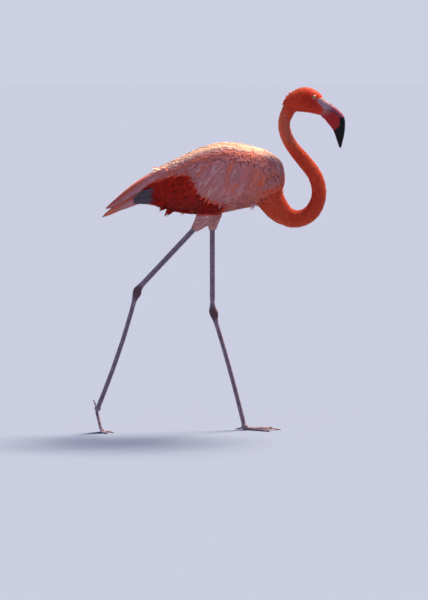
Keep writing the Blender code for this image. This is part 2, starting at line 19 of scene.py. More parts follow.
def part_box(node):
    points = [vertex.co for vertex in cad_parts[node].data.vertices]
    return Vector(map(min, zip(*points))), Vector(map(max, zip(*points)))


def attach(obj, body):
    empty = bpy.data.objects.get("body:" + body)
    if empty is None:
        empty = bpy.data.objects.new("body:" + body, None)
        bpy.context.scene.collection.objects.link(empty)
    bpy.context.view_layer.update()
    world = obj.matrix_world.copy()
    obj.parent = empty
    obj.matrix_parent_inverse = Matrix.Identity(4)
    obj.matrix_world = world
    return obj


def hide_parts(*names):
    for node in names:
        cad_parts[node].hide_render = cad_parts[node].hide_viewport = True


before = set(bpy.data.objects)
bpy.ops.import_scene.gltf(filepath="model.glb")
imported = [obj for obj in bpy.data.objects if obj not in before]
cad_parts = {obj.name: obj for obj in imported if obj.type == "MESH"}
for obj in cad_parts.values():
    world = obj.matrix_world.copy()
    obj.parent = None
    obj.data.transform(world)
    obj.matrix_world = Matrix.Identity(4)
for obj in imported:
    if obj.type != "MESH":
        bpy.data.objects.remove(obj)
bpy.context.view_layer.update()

MM = 0.001
SIDES = ("left", "right")
SIGN = {"left": 1.0, "right": -1.0}
dice = np.random.default_rng(20)

# ---------------- sizes and colours

FLESH = ["head", "neck_base", "neck_bend", "neck_middle", "neck_upper", "trunk"]
FLESH += [f"{part}_{side}" for part in ("wing", "thigh") for side in SIDES]
BARE_LEGS = [f"{part}_{side}" for part in ("shank", "hock", "tarsus", "foot") for side in SIDES]

BODY_VOXEL, LEG_VOXEL, BILL_VOXEL, CLAW_VOXEL = 2.0 * MM, 0.85 * MM, 0.75 * MM, 0.3 * MM
BODY_SWELL, LEG_SWELL, CLAW_SWELL = 0.35 * MM, 0.2 * MM, 0.1 * MM  # closes gaps before solids are fused

# How deep the skin lies under the tips of the feathers.
COAT_DEPTH = {"head": 1.3 * MM, "neck": 3.0 * MM, "trunk": 6.0 * MM, "wing": 5.0 * MM, "thigh": 2.6 * MM}
# Rounds of smoothing over the body.
EASING = {"seam": 14, "crease": 40, "distance": 12, "lie": 6, "pigment": 2, "depth": 14}
BACK_FLOOR, BACK_REACH = 0.65, 30 * MM  # the back lies above this height, down from its crest
WING_RED_FROM = 0.13  # behind the breast
BARE_FACE = 0.35  # no feather grows where the face is barer
HEM_ROOM, FALL_ROOM = 8 * MM, 14 * MM  # plumes are rooted this far over their hem, up and along them
SHORTEST_PLUME, LONGEST_PLUME = 10 * MM, 95 * MM

SCUTE_PITCH = 5.2 * MM  # the horny plates down the front of the leg
TOE_SCUTE_PITCH = 3.2 * MM
SCUTE_GROOVE = 0.30 * MM

LID_OPENING = 4.5 * MM  # half the opening between the lids, lengthwise
LID_REACH = 6.7 * MM  # the bare skin round the eye runs out this far from its centre
LID_SINK = 0.9 * MM  # its edge lies this far under the outer form
LID_RINGS, LID_POINTS, LID_FOLDS = 20, 72, 4.0
EYE_RINGS, EYE_POINTS = 28, 40

KEY_PLACE, KEY_STRENGTH, KEY_ANGLE, KEY_COLOUR = (0.44, 0.40, 1.0), 10.0, math.radians(24.0), "ffe6c4"
FLOOR, HORIZON, OVERHEAD = "7b88a2", "cbd0e3", "8e9cc4"
FLOOR_REACH = 40.0
LENS, CAMERA_DISTANCE, CAMERA_RISE = 200.0, 8.7, math.radians(5.0)
AIM_BEHIND_BREAST, AIM_HEIGHT = 0.1840, 0.344

# What the skin holds at each of its points.
SKIN_LABELS = ("pigment", "bare", "leg", "joint", "groove", "lid")

# Feather colours from the palest to the deepest, by amount of pigment. The pigment is the same
# everywhere, carotenoid from the food, so one scale of it gives every pink and red of the bird.
# Some amounts on this scale paint light and shade; each is marked where it is worked out.
PLUMAGE = {
    0.00: "fcdcc2", 0.18: "efb9a2", 0.34: "b8777e", 0.50: "cb6a55",
    0.66: "d94f34", 0.80: "cf301c", 0.90: "a31508", 1.00: "750b06",
}


# ---------------- tools for arrays and surfaces


def unit(vectors):
    return vectors / np.maximum(np.linalg.norm(vectors, axis=-1, keepdims=True), 1e-12)


def dot(a, b):
    return np.sum(a * b, axis=-1, keepdims=True)


def step(values, start, end):
    """0 before start, 1 after end, and smooth between. start may be above end."""
    share = np.clip((np.asarray(values, float) - start) / (end - start), 0.0, 1.0)
    return share * share * (3.0 - 2.0 * share)


def hump(values, peak, width):
    """1 at the peak, and down to 0 on both sides of it."""
    return np.exp(-(((values - peak) / width) ** 2))


def corners_of(node):
    """A solid's lowest and highest corners."""
    return [np.array(corner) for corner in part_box(node)]


def centre(node):
    low, high = corners_of(node)
    return (low + high) / 2


def tube(rows, around, closed=False):
    """The quads of a tube of points, ring after ring. A closed tube runs back into its first ring."""
    i, j = np.meshgrid(np.arange(rows if closed else rows - 1), np.arange(around), indexing="ij")
    below, after = (i + 1) % rows, (j + 1) % around
    quads = (i * around + j, i * around + after, below * around + after, below * around + j)
    return np.stack(quads, -1).reshape(-1, 4)


class Surface:
    """A closed mesh of quads, held as arrays."""

    def __init__(self, points, quads):
        self.points = points
        self.quads = quads
        pairs = np.concatenate([quads[:, [i, (i + 1) % 4]] for i in range(4)])
        pairs = np.unique(np.sort(pairs, axis=1), axis=0)
        self.start, self.end = pairs.T
        self.degree = np.bincount(pairs.ravel(), minlength=len(points))

    def gather(self, from_end, from_start):
        """For each point, the sum of the values that its edges bring from either end."""
        columns = [
            np.bincount(self.start, out, len(self.points)) + np.bincount(self.end, back, len(self.points))
            for out, back in zip(from_end.T, from_start.T)
        ]
        return np.stack(columns, axis=1)

    def spread(self, values, rounds=1, share=1.0):
        """Each point's value drawn towards the mean of its neighbours'."""
        flat = values.reshape(len(self.points), -1)
        for _ in range(rounds):
            mean = self.gather(flat[self.end], flat[self.start]) / self.degree[:, None]
            flat = flat + (mean - flat) * share
        return flat.reshape(values.shape)

    def blend(self, amount, rounds):
        """Rounds off the mesh where the amount is 1, and leaves it where the amount is 0."""
        self.points = self.points + (self.spread(self.points, rounds) - self.points) * amount[:, None]
        self.settle()

    def of_faces(self, values):
        return values[self.quads].mean(axis=1)

    def settle(self):
        """Works out normals, areas and the search tree once the points are final."""
        a, b, c, d = (self.points[self.quads[:, i]] for i in range(4))
        across = np.cross(c - a, d - b)
        self.areas = np.linalg.norm(across, axis=1) / 2
        normals = np.zeros_like(self.points)
        for i in range(4):
            for axis in range(3):
                normals[:, axis] += np.bincount(self.quads[:, i], across[:, axis], len(self.points))
        self.normals = unit(normals)
        self.face_normals = unit(self.of_faces(self.normals))
        self.tree = BVHTree.FromPolygons(self.points.tolist(), self.quads.tolist())

    def nearest(self, places):
        """The nearest place on the surface to each place, and its face."""
        found = [self.tree.find_nearest(place) for place in places.tolist()]
        return np.array([hit[0] for hit in found]), np.array([hit[2] for hit in found])


def fused(nodes, swell, voxel, rounds):
    """One surface round the named solids, smoothed in rounds that don't shrink it."""
    joined = bmesh.new()
    for node in nodes:
        part = bmesh.new()
        part.from_mesh(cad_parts[node].data)
        bmesh.ops.remove_doubles(part, verts=part.verts, dist=0.002 * MM)
        part.normal_update()
        for vertex in part.verts:
            vertex.co += vertex.normal * swell
        data = bpy.data.meshes.new("part")
        part.to_mesh(data)
        part.free()
        joined.from_mesh(data)
        bpy.data.meshes.remove(data)
    data = bpy.data.meshes.new("joined")
    joined.to_mesh(data)
    joined.free()
    source = show("joined", data)
    remesh = source.modifiers.new("fuse", "REMESH")
    remesh.mode = "VOXEL"
    remesh.voxel_size = voxel
    made = bpy.data.meshes.new_from_object(source.evaluated_get(bpy.context.evaluated_depsgraph_get()))
    points = np.empty(len(made.vertices) * 3)
    made.vertices.foreach_get("co", points)
    corners = np.empty(len(made.loops), int)
    made.loops.foreach_get("vertex_index", corners)
    bpy.data.objects.remove(source)
    bpy.data.meshes.remove(made)
    surface = Surface(points.reshape(-1, 3), corners.reshape(-1, 4))
    for _ in range(rounds):
        for share in (0.50, -0.52):
            surface.points = surface.spread(surface.points, share=share)
    surface.settle()
    return surface


def make_mesh(name, points, quads, numbers, material, bake_map=None, rim=None):
    """A mesh from arrays of points and quads, with its numbers for each point.

    Edges between two points of the rim stay sharp, so a thin vane doesn't shade as a cushion.
    """
    data = bpy.data.meshes.new(name)
    data.vertices.add(len(points))
    data.vertices.foreach_set("co", np.asarray(points, np.float32).ravel())
    corners = np.asarray(quads, np.int32).ravel()
    data.loops.add(len(corners))
    data.loops.foreach_set("vertex_index", corners)
    data.polygons.add(len(quads))
    data.polygons.foreach_set("loop_start", np.arange(0, len(corners), 4, dtype=np.int32))
    data.update(calc_edges=True)
    data.shade_smooth()
    if rim is not None:
        ends = np.empty(len(data.edges) * 2, np.int32)
        data.edges.foreach_get("vertices", ends)
        sharp = data.attributes.new("sharp_edge", "BOOLEAN", "EDGE")
        sharp.data.foreach_set("value", rim[ends.reshape(-1, 2)].all(axis=1))
    for label, values in numbers.items():
        layer = data.attributes.new(label, "FLOAT", "POINT")
        layer.data.foreach_set("value", np.asarray(values, np.float32).ravel())
    if bake_map is not None:
        layer = data.uv_layers.new(name="OFBake")
        layer.data.foreach_set("uv", np.asarray(bake_map, np.float32)[corners].ravel())
    data.materials.append(material)
    return show(name, data)


def show(name, data):
    """Puts a mesh, lamp or camera in the scene."""
    made = bpy.data.objects.new(name, data)
    bpy.context.scene.collection.objects.link(made)
    return made


def make_piece(name, slot, nodes, *mesh):
    """Makes a piece that rides on the bird, and hides the solids that it stands for. The slot is not used."""
    piece = make_mesh(name, *mesh)
    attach(piece, "root")
    if nodes:
        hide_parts(*nodes)


# ---------------- materials


def linear(code):
    """An sRGB hex colour as linear RGBA."""
    channels = [int(code[i : i + 2], 16) / 255 for i in (0, 2, 4)]
    return (*[c / 12.92 if c <= 0.04045 else ((c + 0.055) / 1.055) ** 2.4 for c in channels], 1.0)


def set_up(node, settings):
    """Sets a node's inputs and properties by name, and links an input that is given a socket.

    The stops of a colour ramp are sRGB hex values by place.
    """
    for key, value in settings.items():
        if isinstance(value, bpy.types.NodeSocket):
            node.id_data.links.new(value, node.inputs[key])
        elif key == "stops":
            points = node.color_ramp.elements
            while len(points) < len(value):
                points.new(0.5)
            for point, (place, code) in zip(points, sorted(value.items())):
                point.position, point.color = place, linear(code)
        elif isinstance(key, int) or key in node.inputs:
            node.inputs[key].default_value = value
        else:
            setattr(node, key, value)


def add_node(tree, kind, settings, output=0):
    """Adds a node with its settings and links, and returns one of its outputs."""
    node = tree.nodes.new("ShaderNode" + kind)
    set_up(node, settings)
    return node.outputs[output]


def start_material(name, *labels):
    """A new material, its tree, its shader, the places in metres, and the piece's labelled numbers."""
    material = bpy.data.materials.new(name)
    material.use_nodes = True
    tree = material.node_tree
    place = add_node(tree, "TexCoord", {}, "Object")
    numbers = [add_node(tree, "Attribute", {"attribute_name": label}, "Fac") for label in labels]
    return material, tree, tree.nodes["Principled BSDF"], place, *numbers


def barb_wave(tree, barb, pitch):
    """A wave with its crests a pitch apart, where barb counts millimetres over the vane."""
    turns = add_node(tree, "Math", {"operation": "MULTIPLY", 0: barb, 1: 2 * math.pi * MM / pitch})
    return add_node(tree, "Math", {"operation": "SINE", 0: turns})


def plumage_material(name, barb_pitch, sheen, glow):
    """Contour feathers: keratin barbs dyed by carotenoids, hooked into a soft, matt vane.

    The barbs scatter light, so the vane is rough with a pale sheen at glancing angles, and fine lines
    run from the shaft to the edge. The barbs are about 0.4 mm apart in life and are drawn at barb_pitch,
    because they would not show otherwise. The dye varies in clouds 9 mm wide, a few feathers across.
    """
    material, tree, shader, place, pigment, tone, barb = start_material(name, "pigment", "tone", "barb")
    cloud = add_node(tree, "TexNoise", {"Scale": 1 / (9 * MM), "Detail": 3.0, "Vector": place})
    more_or_less = {"From Min": 0.3, "From Max": 0.7, "To Min": -0.05, "To Max": 0.05, "Value": cloud}
    cloudy = add_node(tree, "MapRange", more_or_less)
    amount = add_node(tree, "Math", {"operation": "ADD", 0: pigment, 1: cloudy})
    colour = add_node(tree, "ValToRGB", {"stops": PLUMAGE, "Fac": amount})
    wave = barb_wave(tree, barb, barb_pitch)
    stripe = add_node(tree, "Math", {"operation": "MULTIPLY_ADD", 0: wave, 1: 0.035, 2: tone})
    shaded = add_node(tree, "HueSaturation", {"Value": stripe, "Color": colour})
    bump = add_node(tree, "Bump", {"Strength": 0.25, "Distance": 0.06 * MM, "Height": wave})
    set_up(shader, {"Roughness": 0.72, "IOR": 1.54, "Specular IOR Level": 0.12, "Normal": bump})
    set_up(shader, {"Sheen Weight": sheen, "Sheen Roughness": 0.45, "Sheen Tint": linear(glow)})
    set_up(shader, {"Base Color": shaded})
    return material


def flight_material():
    """Primaries: keratin packed with melanin, so nearly black, harder and smoother than the pink ones.

    The barbs are about 0.5 mm apart in life and are drawn 1.6 mm apart, to show. The palest colour is
    past the end of the ramp, so it is on the crests alone.
    """
    material, tree, shader, _, tone, barb = start_material("melanin_flight_feather", "tone", "barb")
    wave = barb_wave(tree, barb, 1.6 * MM)
    shade = add_node(tree, "Math", {"operation": "MULTIPLY_ADD", 0: wave, 1: 0.12, 2: tone})
    blacks = {0.5: "1b161b", 1.0: "362c34", 1.3: "4c414a"}
    colour = add_node(tree, "ValToRGB", {"stops": blacks, "Fac": shade})
    bump = add_node(tree, "Bump", {"Strength": 0.4, "Distance": 0.12 * MM, "Height": wave})
    set_up(shader, {"Roughness": 0.46, "IOR": 1.56, "Base Color": colour, "Normal": bump})
    return material


def skin_material():
    """Skin: mauve scales on the legs, bare and pale on the face, and dyed as the feathers elsewhere.

    The legs' scales are a net of cells 2.6 mm across, with painted shade in the creases between them and in
    the grooves between the plates. All of the skin is mottled in patches 7 mm wide. The grain of the bare
    face is a few tenths of a millimetre in life and is drawn at 1.1 mm, to show.
    """
    material, tree, shader, place, *numbers = start_material("bird_skin", *SKIN_LABELS)
    pigment, bare, leg, joint, groove, lid = numbers
    feathered = add_node(tree, "ValToRGB", {"stops": PLUMAGE, "Fac": pigment})
    mottle = add_node(tree, "TexNoise", {"Scale": 1 / (7 * MM), "Detail": 4.0, "Vector": place})
    net = {"feature": "DISTANCE_TO_EDGE", "Scale": 1 / (2.6 * MM), "Vector": place}
    scales = add_node(tree, "TexVoronoi", net)
    crease = add_node(tree, "MapRange", {"From Max": 0.10, "Value": scales})
    pales = {0.30: "8a6670", 0.55: "a28087", 0.75: "b29297"}
    face = add_node(tree, "ValToRGB", {"stops": pales, "Fac": mottle})
    mauves = {0.30: "7c6578", 0.52: "9c8496", 0.75: "b39bac"}
    plates = add_node(tree, "ValToRGB", {"stops": mauves, "Fac": mottle})
    rimmed = add_node(tree, "Mix", {"data_type": "RGBA", 0: lid, 6: face, 7: linear("4d343b")}, 2)
    knuckles = add_node(tree, "Mix", {"data_type": "RGBA", 0: joint, 6: plates, 7: linear("5e3842")}, 2)
    # Painted shade: dark in the creases between the scales and in the grooves between the plates.
    crease_shaded = add_node(tree, "Mix", {"data_type": "RGBA", 0: crease, 6: linear("35242c"), 7: knuckles}, 2)
    groove_shaded = add_node(tree, "Mix", {"data_type": "RGBA", 0: groove, 6: crease_shaded, 7: linear("3a2830")}, 2)
    upper = add_node(tree, "Mix", {"data_type": "RGBA", 0: bare, 6: feathered, 7: rimmed}, 2)
    whole = add_node(tree, "Mix", {"data_type": "RGBA", 0: leg, 6: upper, 7: groove_shaded}, 2)
    grain = add_node(tree, "TexNoise", {"Scale": 1 / (1.1 * MM), "Detail": 2.0, "Vector": place})
    relief = add_node(tree, "Mix", {"data_type": "FLOAT", 0: leg, 2: grain, 3: crease})
    bump = add_node(tree, "Bump", {"Strength": 0.5, "Distance": 0.15 * MM, "Height": relief})
    set_up(shader, {"Roughness": 0.58, "IOR": 1.42, "Base Color": whole, "Normal": bump})
    return material


def bill_material(name, base, middle):
    """Horn of the bill: keratin in layers over bone, waxy, pale at the root and black at the tip.

    The fibres of the horn are finer than a tenth of a millimetre and are drawn 2 mm apart, as
    faint streaks. The gape is painted dark where the two halves meet, as shade in the gap between them.
    """
    material, tree, shader, place, tip, root, gape = start_material(name, "tipward", "rootward", "gape")
    streaks = {"Scale": 1 / (2 * MM), "Detail": 4.0, "Roughness": 0.6, "Vector": place}
    fibre = add_node(tree, "TexNoise", streaks)
    wander = add_node(tree, "Math", {"operation": "MULTIPLY_ADD", 0: fibre, 1: 1.6, 2: tip})
    soft_edge = {"interpolation_type": "SMOOTHSTEP", "From Min": -0.6, "From Max": 2.4, "Value": wander}
    black = add_node(tree, "MapRange", soft_edge)
    pale = add_node(tree, "ValToRGB", {"stops": {0.0: base, 1.0: middle}, "Fac": root})
    faint = {"From Min": 0.3, "From Max": 0.7, "To Min": 0.90, "To Max": 1.08, "Value": fibre}
    brightness = add_node(tree, "MapRange", faint)
    streaked = add_node(tree, "HueSaturation", {"Color": pale, "Value": brightness})
    # Painted shade: the gape is dark where the halves meet.
    gape_shaded = add_node(tree, "Mix", {"data_type": "RGBA", 0: gape, 6: streaked, 7: linear("2c1218")}, 2)
    horn = add_node(tree, "Mix", {"data_type": "RGBA", 0: black, 6: gape_shaded, 7: linear("070508")}, 2)
    bump = add_node(tree, "Bump", {"Strength": 0.2, "Distance": 0.15 * MM, "Height": fibre})
    set_up(shader, {"Roughness": 0.50, "IOR": 1.55, "Specular IOR Level": 0.18})
    set_up(shader, {"Base Color": horn, "Normal": bump})
    return material


def eye_material():
    """The eye: a wet cornea over a pale yellow iris and a black pupil.

    The fibres of the iris are about 0.1 mm apart in life and are drawn 0.9 mm apart, to show.
    """
    material, tree, shader, place, ring = start_material("wet_eye", "ring")
    fibre = add_node(tree, "TexNoise", {"Scale": 1 / (0.9 * MM), "Detail": 3.0, "Vector": place})
    edge = add_node(tree, "Math", {"operation": "MULTIPLY_ADD", 0: fibre, 1: 0.06, 2: ring})
    stops = {0.0: "050505", 0.37: "070605", 0.41: "6e5420", 0.52: "b59b48", 0.78: "c0a85c", 0.93: "3e3018"}
    colour = add_node(tree, "ValToRGB", {"stops": stops, "Fac": edge})
    set_up(shader, {"Roughness": 0.30, "IOR": 1.376, "Specular IOR Level": 0.1, "Base Color": colour})
    set_up(shader, {"Coat Weight": 1.0, "Coat Roughness": 0.02})
    return material


def claw_material():
    """Claws: thick horn, dark and worn smooth. Its fibres are too fine to show and are drawn at 1.5 mm."""
    material, tree, shader, place = start_material("claw_horn")
    grain = add_node(tree, "TexNoise", {"Scale": 1 / (1.5 * MM), "Detail": 3.0, "Vector": place})
    darks = {0.35: "241a1b", 0.65: "3f302e"}
    colour = add_node(tree, "ValToRGB", {"stops": darks, "Fac": grain})
    bump = add_node(tree, "Bump", {"Strength": 0.3, "Distance": 0.1 * MM, "Height": grain})
    set_up(shader, {"Roughness": 0.42, "IOR": 1.55, "Base Color": colour, "Normal": bump})
    return material


def floor_material():
    """A plain painted floor, pale and matt."""
    material, _, shader, _ = start_material("pale_matt_floor")
    set_up(shader, {"Roughness": 1.0, "Specular IOR Level": 0.0, "Base Color": linear(FLOOR)})
    return material


# ---------------- the body's surface and its markings


def homes(points, nodes):
    """For each point, the number of the node whose solid is nearest."""
    corners, faces, owner = [], [], []
    for number, node in enumerate(nodes):
        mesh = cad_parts[node].data
        shift = len(corners)
        corners += [tuple(vertex.co) for vertex in mesh.vertices]
        faces += [[shift + i for i in face.vertices] for face in mesh.polygons]
        owner += [number] * len(mesh.polygons)
    tree = BVHTree.FromPolygons(corners, faces)
    return np.array(owner)[[tree.find_nearest(point)[2] for point in points.tolist()]]


def distance_over(surface, starts):
    """The distance over the surface from the starting points to each point."""
    pairs = [np.stack([surface.start, surface.end], 1), surface.quads[:, (0, 2)], surface.quads[:, (1, 3)]]
    pairs = np.concatenate(pairs)
    lengths = np.linalg.norm(surface.points[pairs[:, 0]] - surface.points[pairs[:, 1]], axis=1).tolist()
    links = [[] for _ in surface.points]
    for (a, b), length in zip(pairs.tolist(), lengths):
        links[a].append((b, length))
        links[b].append((a, length))
    reached = [math.inf] * len(links)
    queue = [(0.0, start) for start in starts.tolist()]
    for far, start in queue:
        reached[start] = far
    while queue:
        far, at = heapq.heappop(queue)
        if far > reached[at]:
            continue
        for other, length in links[at]:
            if far + length < reached[other]:
                reached[other] = far + length
                heapq.heappush(queue, (far + length, other))
    return np.array(reached)


def slope_of(surface, values):
    """The direction over the surface in which the values grow."""
    along = surface.points[surface.end] - surface.points[surface.start]
    rise = (values[surface.end] - values[surface.start])[:, None] * along / dot(along, along)
    slope = surface.gather(rise, rise)
    slope -= surface.normals * dot(slope, surface.normals)
    return unit(slope)


HEAD_LOW, HEAD_HIGH = corners_of("head")
TRUNK_LOW, TRUNK_HIGH = corners_of("trunk")
WING_FRONT = corners_of("wing_right")[1][0]
BREAST = TRUNK_HIGH[0]  # places along the body are measured back from the front of the breast
EYE = {side: centre(f"eye_{side}") for side in SIDES}
EYE_RADIUS = (corners_of("eye_left")[1][0] - corners_of("eye_left")[0][0]) / 2

body = fused(FLESH, BODY_SWELL, BODY_VOXEL, 3)
body.home = homes(body.points, FLESH)
on_neck = body.spread((body.home == FLESH.index("neck_base")) * 1.0, EASING["seam"])
body.blend(4 * on_neck * (1 - on_neck), EASING["crease"])  # so the neck flows into the breast
at_bill = (body.home == FLESH.index("head")) & (body.points[:, 0] > HEAD_HIGH[0] - 2 * MM)
body.distance = body.spread(distance_over(body, np.flatnonzero(at_bill)), EASING["distance"])
body.face_lie = unit(body.of_faces(body.spread(slope_of(body, body.distance), EASING["lie"])))
body.face_home = body.home[body.quads[:, 0]]
body.face_distance = body.of_faces(body.distance)
NECK_END = float(np.median(body.distance[body.home == FLESH.index("neck_base")]))


def is_home(numbers, *words):
    """Which of the node numbers belong to nodes whose names start with one of the words."""
    return np.isin(numbers, [i for i, node in enumerate(FLESH) if node.startswith(words)])


def round_eye(places):
    """How far the places are from the eye, seen from the side."""
    return np.hypot(places[:, 0] - EYE["left"][0], places[:, 2] - EYE["left"][2])


def bareness(places):
    """How bare the face is: 1 on the lores, between eye and bill, and 0 under the feathers."""
    ahead = places[:, 0] - (EYE["left"][0] + 3.5 * MM)
    height = np.abs(places[:, 2] - (EYE["left"][2] - 7.0 * MM - 0.35 * ahead))
    lores = step(0.75 * ahead - height, -1.0 * MM, 2.0 * MM)
    return np.maximum(lores, 1 - step(round_eye(places), 5.2 * MM, 6.4 * MM)) * (places[:, 0] > HEAD_LOW[0])


# The wing seen from the side, as (x behind the breast, z): above this line lie the pale plumes,
# and below it the deep red coverts show.
PLUME_HEM = (
    (-0.371, 0.645), (-0.353, 0.649), (-0.327, 0.658), (-0.301, 0.667), (-0.259, 0.676),
    (-0.243, 0.666), (-0.233, 0.642), (-0.223, 0.624), (-0.207, 0.610), (-0.184, 0.596),
    (-0.165, 0.579), (-0.118, 0.588), (-0.083, 0.612), (-0.048, 0.650), (-0.008, 0.690),
)


def hem(x):
    return np.interp(x - BREAST, *zip(*PLUME_HEM))


def over_hem(places):
    return places[:, 2] - hem(places[:, 0])


def crest_line():
    """The top of the back by x."""
    back = body.points[is_home(body.home, "trunk", "wing")]
    edges = np.linspace(TRUNK_LOW[0], TRUNK_HIGH[0], 50)
    bins = np.clip(np.digitize(back[:, 0], edges) - 1, 0, len(edges) - 2)
    tops = np.zeros(len(edges) - 1)
    np.maximum.at(tops, bins, back[:, 2])
    return (edges[1:] + edges[:-1]) / 2, tops


CREST = crest_line()


def below_crest(places):
    return np.interp(places[:, 0], *CREST) - places[:, 2]


def with_back(pigment, places):
    """The amount of pigment with the back's own: cream on top and coral at its edge, painted light."""
    behind = BREAST - places[:, 0]
    under = below_crest(places)
    # Painted light: the back is cream where the lamp falls on its top, and coral along the edge of that
    # light.
    cream = 0.12 + 0.03 * step(behind, 0.20, 0.30) + 0.17 * step(behind, 0.31, 0.37)
    past_front = np.maximum(step(behind, 0.03, 0.07), step(places[:, 2], 0.695, 0.725))
    lit_top_band = step(under, 0.026, 0.010) * past_front
    edge = hump(under, 0.028, 0.007) * step(behind, 0.05, 0.10)
    return (pigment + 0.07 * edge) * (1 - lit_top_band) + cream * lit_top_band


def redness_of_wing(places):
    """Dusty pink under the plumes, and deep red coverts below their hem."""
    below = step(over_hem(places), 0.006, -0.006)
    pink = with_back(0.41, places)
    red = 0.92 + 0.06 * step(places[:, 2], 0.63, 0.59)
    return pink + (red - pink) * below * step(places[:, 0] - BREAST, -0.125, -0.160)


def redness():
    """The amount of pigment at each point of the body, from 0 to 1."""
    places = body.points
    x, z = places[:, 0] - BREAST, places[:, 2]
    beyond = body.distance - NECK_END
    trunk = 0.44 + 0.24 * (1 - step(beyond, 0.00, 0.085))  # red where the neck comes in
    trunk = trunk - 0.08 * step(z, 0.61, 0.70) * step(beyond, 0.00, 0.05)  # paler upwards
    trunk = trunk - 0.06 * step(x, -0.040, -0.010) * step(z, 0.62, 0.67)  # painted light at the front edge
    trunk = np.where(z > BACK_FLOOR, with_back(trunk, places), trunk)
    behind_legs = step(x, -0.148, -0.168) * step(x, -0.360, -0.320)
    result = trunk + (0.95 - trunk) * behind_legs * step(z, 0.612, 0.603)  # the deep red vent
    # Painted light: a paler band on the upper neck, where the light falls on it.
    nape = step(body.distance, 0.085, 0.115) * step(body.distance, 0.19, 0.14)
    # Painted light: the top of the head is paler where it faces up.
    lit_crown = step(body.normals[:, 2], 0.3, 0.9)
    amounts = {
        "neck": 0.72 - 0.16 * nape - 0.04 * step(beyond, -0.06, 0.0),
        # Painted shade: the head is deeper red round the eye.
        "head": 0.75 + 0.08 * step(round_eye(places), 0.045, 0.012) - 0.12 * lit_crown,
        "wing": redness_of_wing(places),
        "thigh": 0.31 + 0.66 * step(z, 0.567, 0.571),  # pale down, under red flank feathers
    }
    for word, amount in amounts.items():
        result = np.where(is_home(body.home, word), amount, result)
    return result


body.pigment = body.spread(redness(), EASING["pigment"])
body.face_pigment = body.of_faces(body.pigment)


# ---------------- skin


def coat_depth():
    """The depth of the skin under the outer form, at each point of the body."""
    depth = np.zeros(len(body.points))
    for word, value in COAT_DEPTH.items():
        depth[is_home(body.home, word)] = value
    thigh = is_home(body.home, "thigh")
    depth[thigh] *= 0.35 + 0.65 * step(body.points[thigh, 2], 0.530, 0.560)
    return body.spread(depth, EASING["depth"]) * (1 - 0.8 * bareness(body.points))


def axis_of(node):
    """A long solid's centre and direction, downwards."""
    points = np.array([tuple(vertex.co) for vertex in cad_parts[node].data.vertices])
    middle = points.mean(axis=0)
    direction = np.linalg.svd(points - middle, full_matrices=False)[2][0]
    return middle, direction * -math.copysign(1.0, direction[2])


def centre_of_ball(side):
    """The ball of a foot, where the toes part: at the lower end of the tarsus."""
    middle, direction = axis_of(f"tarsus_{side}")
    return middle + direction * (middle[2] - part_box(f"tarsus_{side}")[0][2]) / -direction[2]


def groove_at(distance, pitch, width):
    """1 in the grooves that part plates of a pitch, and 0 on the plates."""
    return hump(np.abs((distance / pitch) % 1.0 - 0.5) * pitch, 0.0, width)


def make_leg_skin():
    """The bare legs and webbed feet, with scutes cut down the front of the leg and over the toes."""
    legs = fused(BARE_LEGS, LEG_SWELL, LEG_VOXEL, 1)
    legs.points -= legs.normals * LEG_SWELL
    home = homes(legs.points, BARE_LEGS)
    groove, joint, knob = np.zeros((3, len(legs.points)))
    for side in SIDES:
        from_hock = np.linalg.norm(legs.points - centre(f"hock_{side}"), axis=1)
        from_ball = np.linalg.norm(legs.points - centre_of_ball(side), axis=1)
        joint = np.maximum(joint, step(from_hock, 30 * MM, 12 * MM))
        knob = np.maximum(knob, step(from_ball, 20 * MM, 11 * MM))
    legs.blend(np.maximum(joint, knob), 14)
    for number, node in enumerate(BARE_LEGS):
        here = home == number
        places, normals = legs.points[here], legs.normals[here]
        if node.startswith(("shank", "tarsus")):
            middle, direction = axis_of(node)
            front = normals[:, 0]
            stagger = np.where(front > 0.1, 0.0, 0.5 * SCUTE_PITCH)
            cut = groove_at((places - middle) @ direction + stagger, SCUTE_PITCH, 0.55 * MM)
            seam = hump(front, 0.1, 0.16)
            groove[here] = np.maximum(cut * (0.45 + 0.55 * step(front, -0.4, 0.5)), 0.7 * seam)
        if node.startswith("foot"):
            reach = np.linalg.norm(places - centre_of_ball(node[5:]), axis=1)
            groove[here] = 0.7 * groove_at(reach, TOE_SCUTE_PITCH, 0.5 * MM) * step(normals[:, 2], -0.2, 0.3)
    legs.points = legs.points - legs.normals * (SCUTE_GROOVE * groove)[:, None]
    legs.points[:, 2] = np.maximum(legs.points[:, 2], 0.0)
    return legs, groove, joint


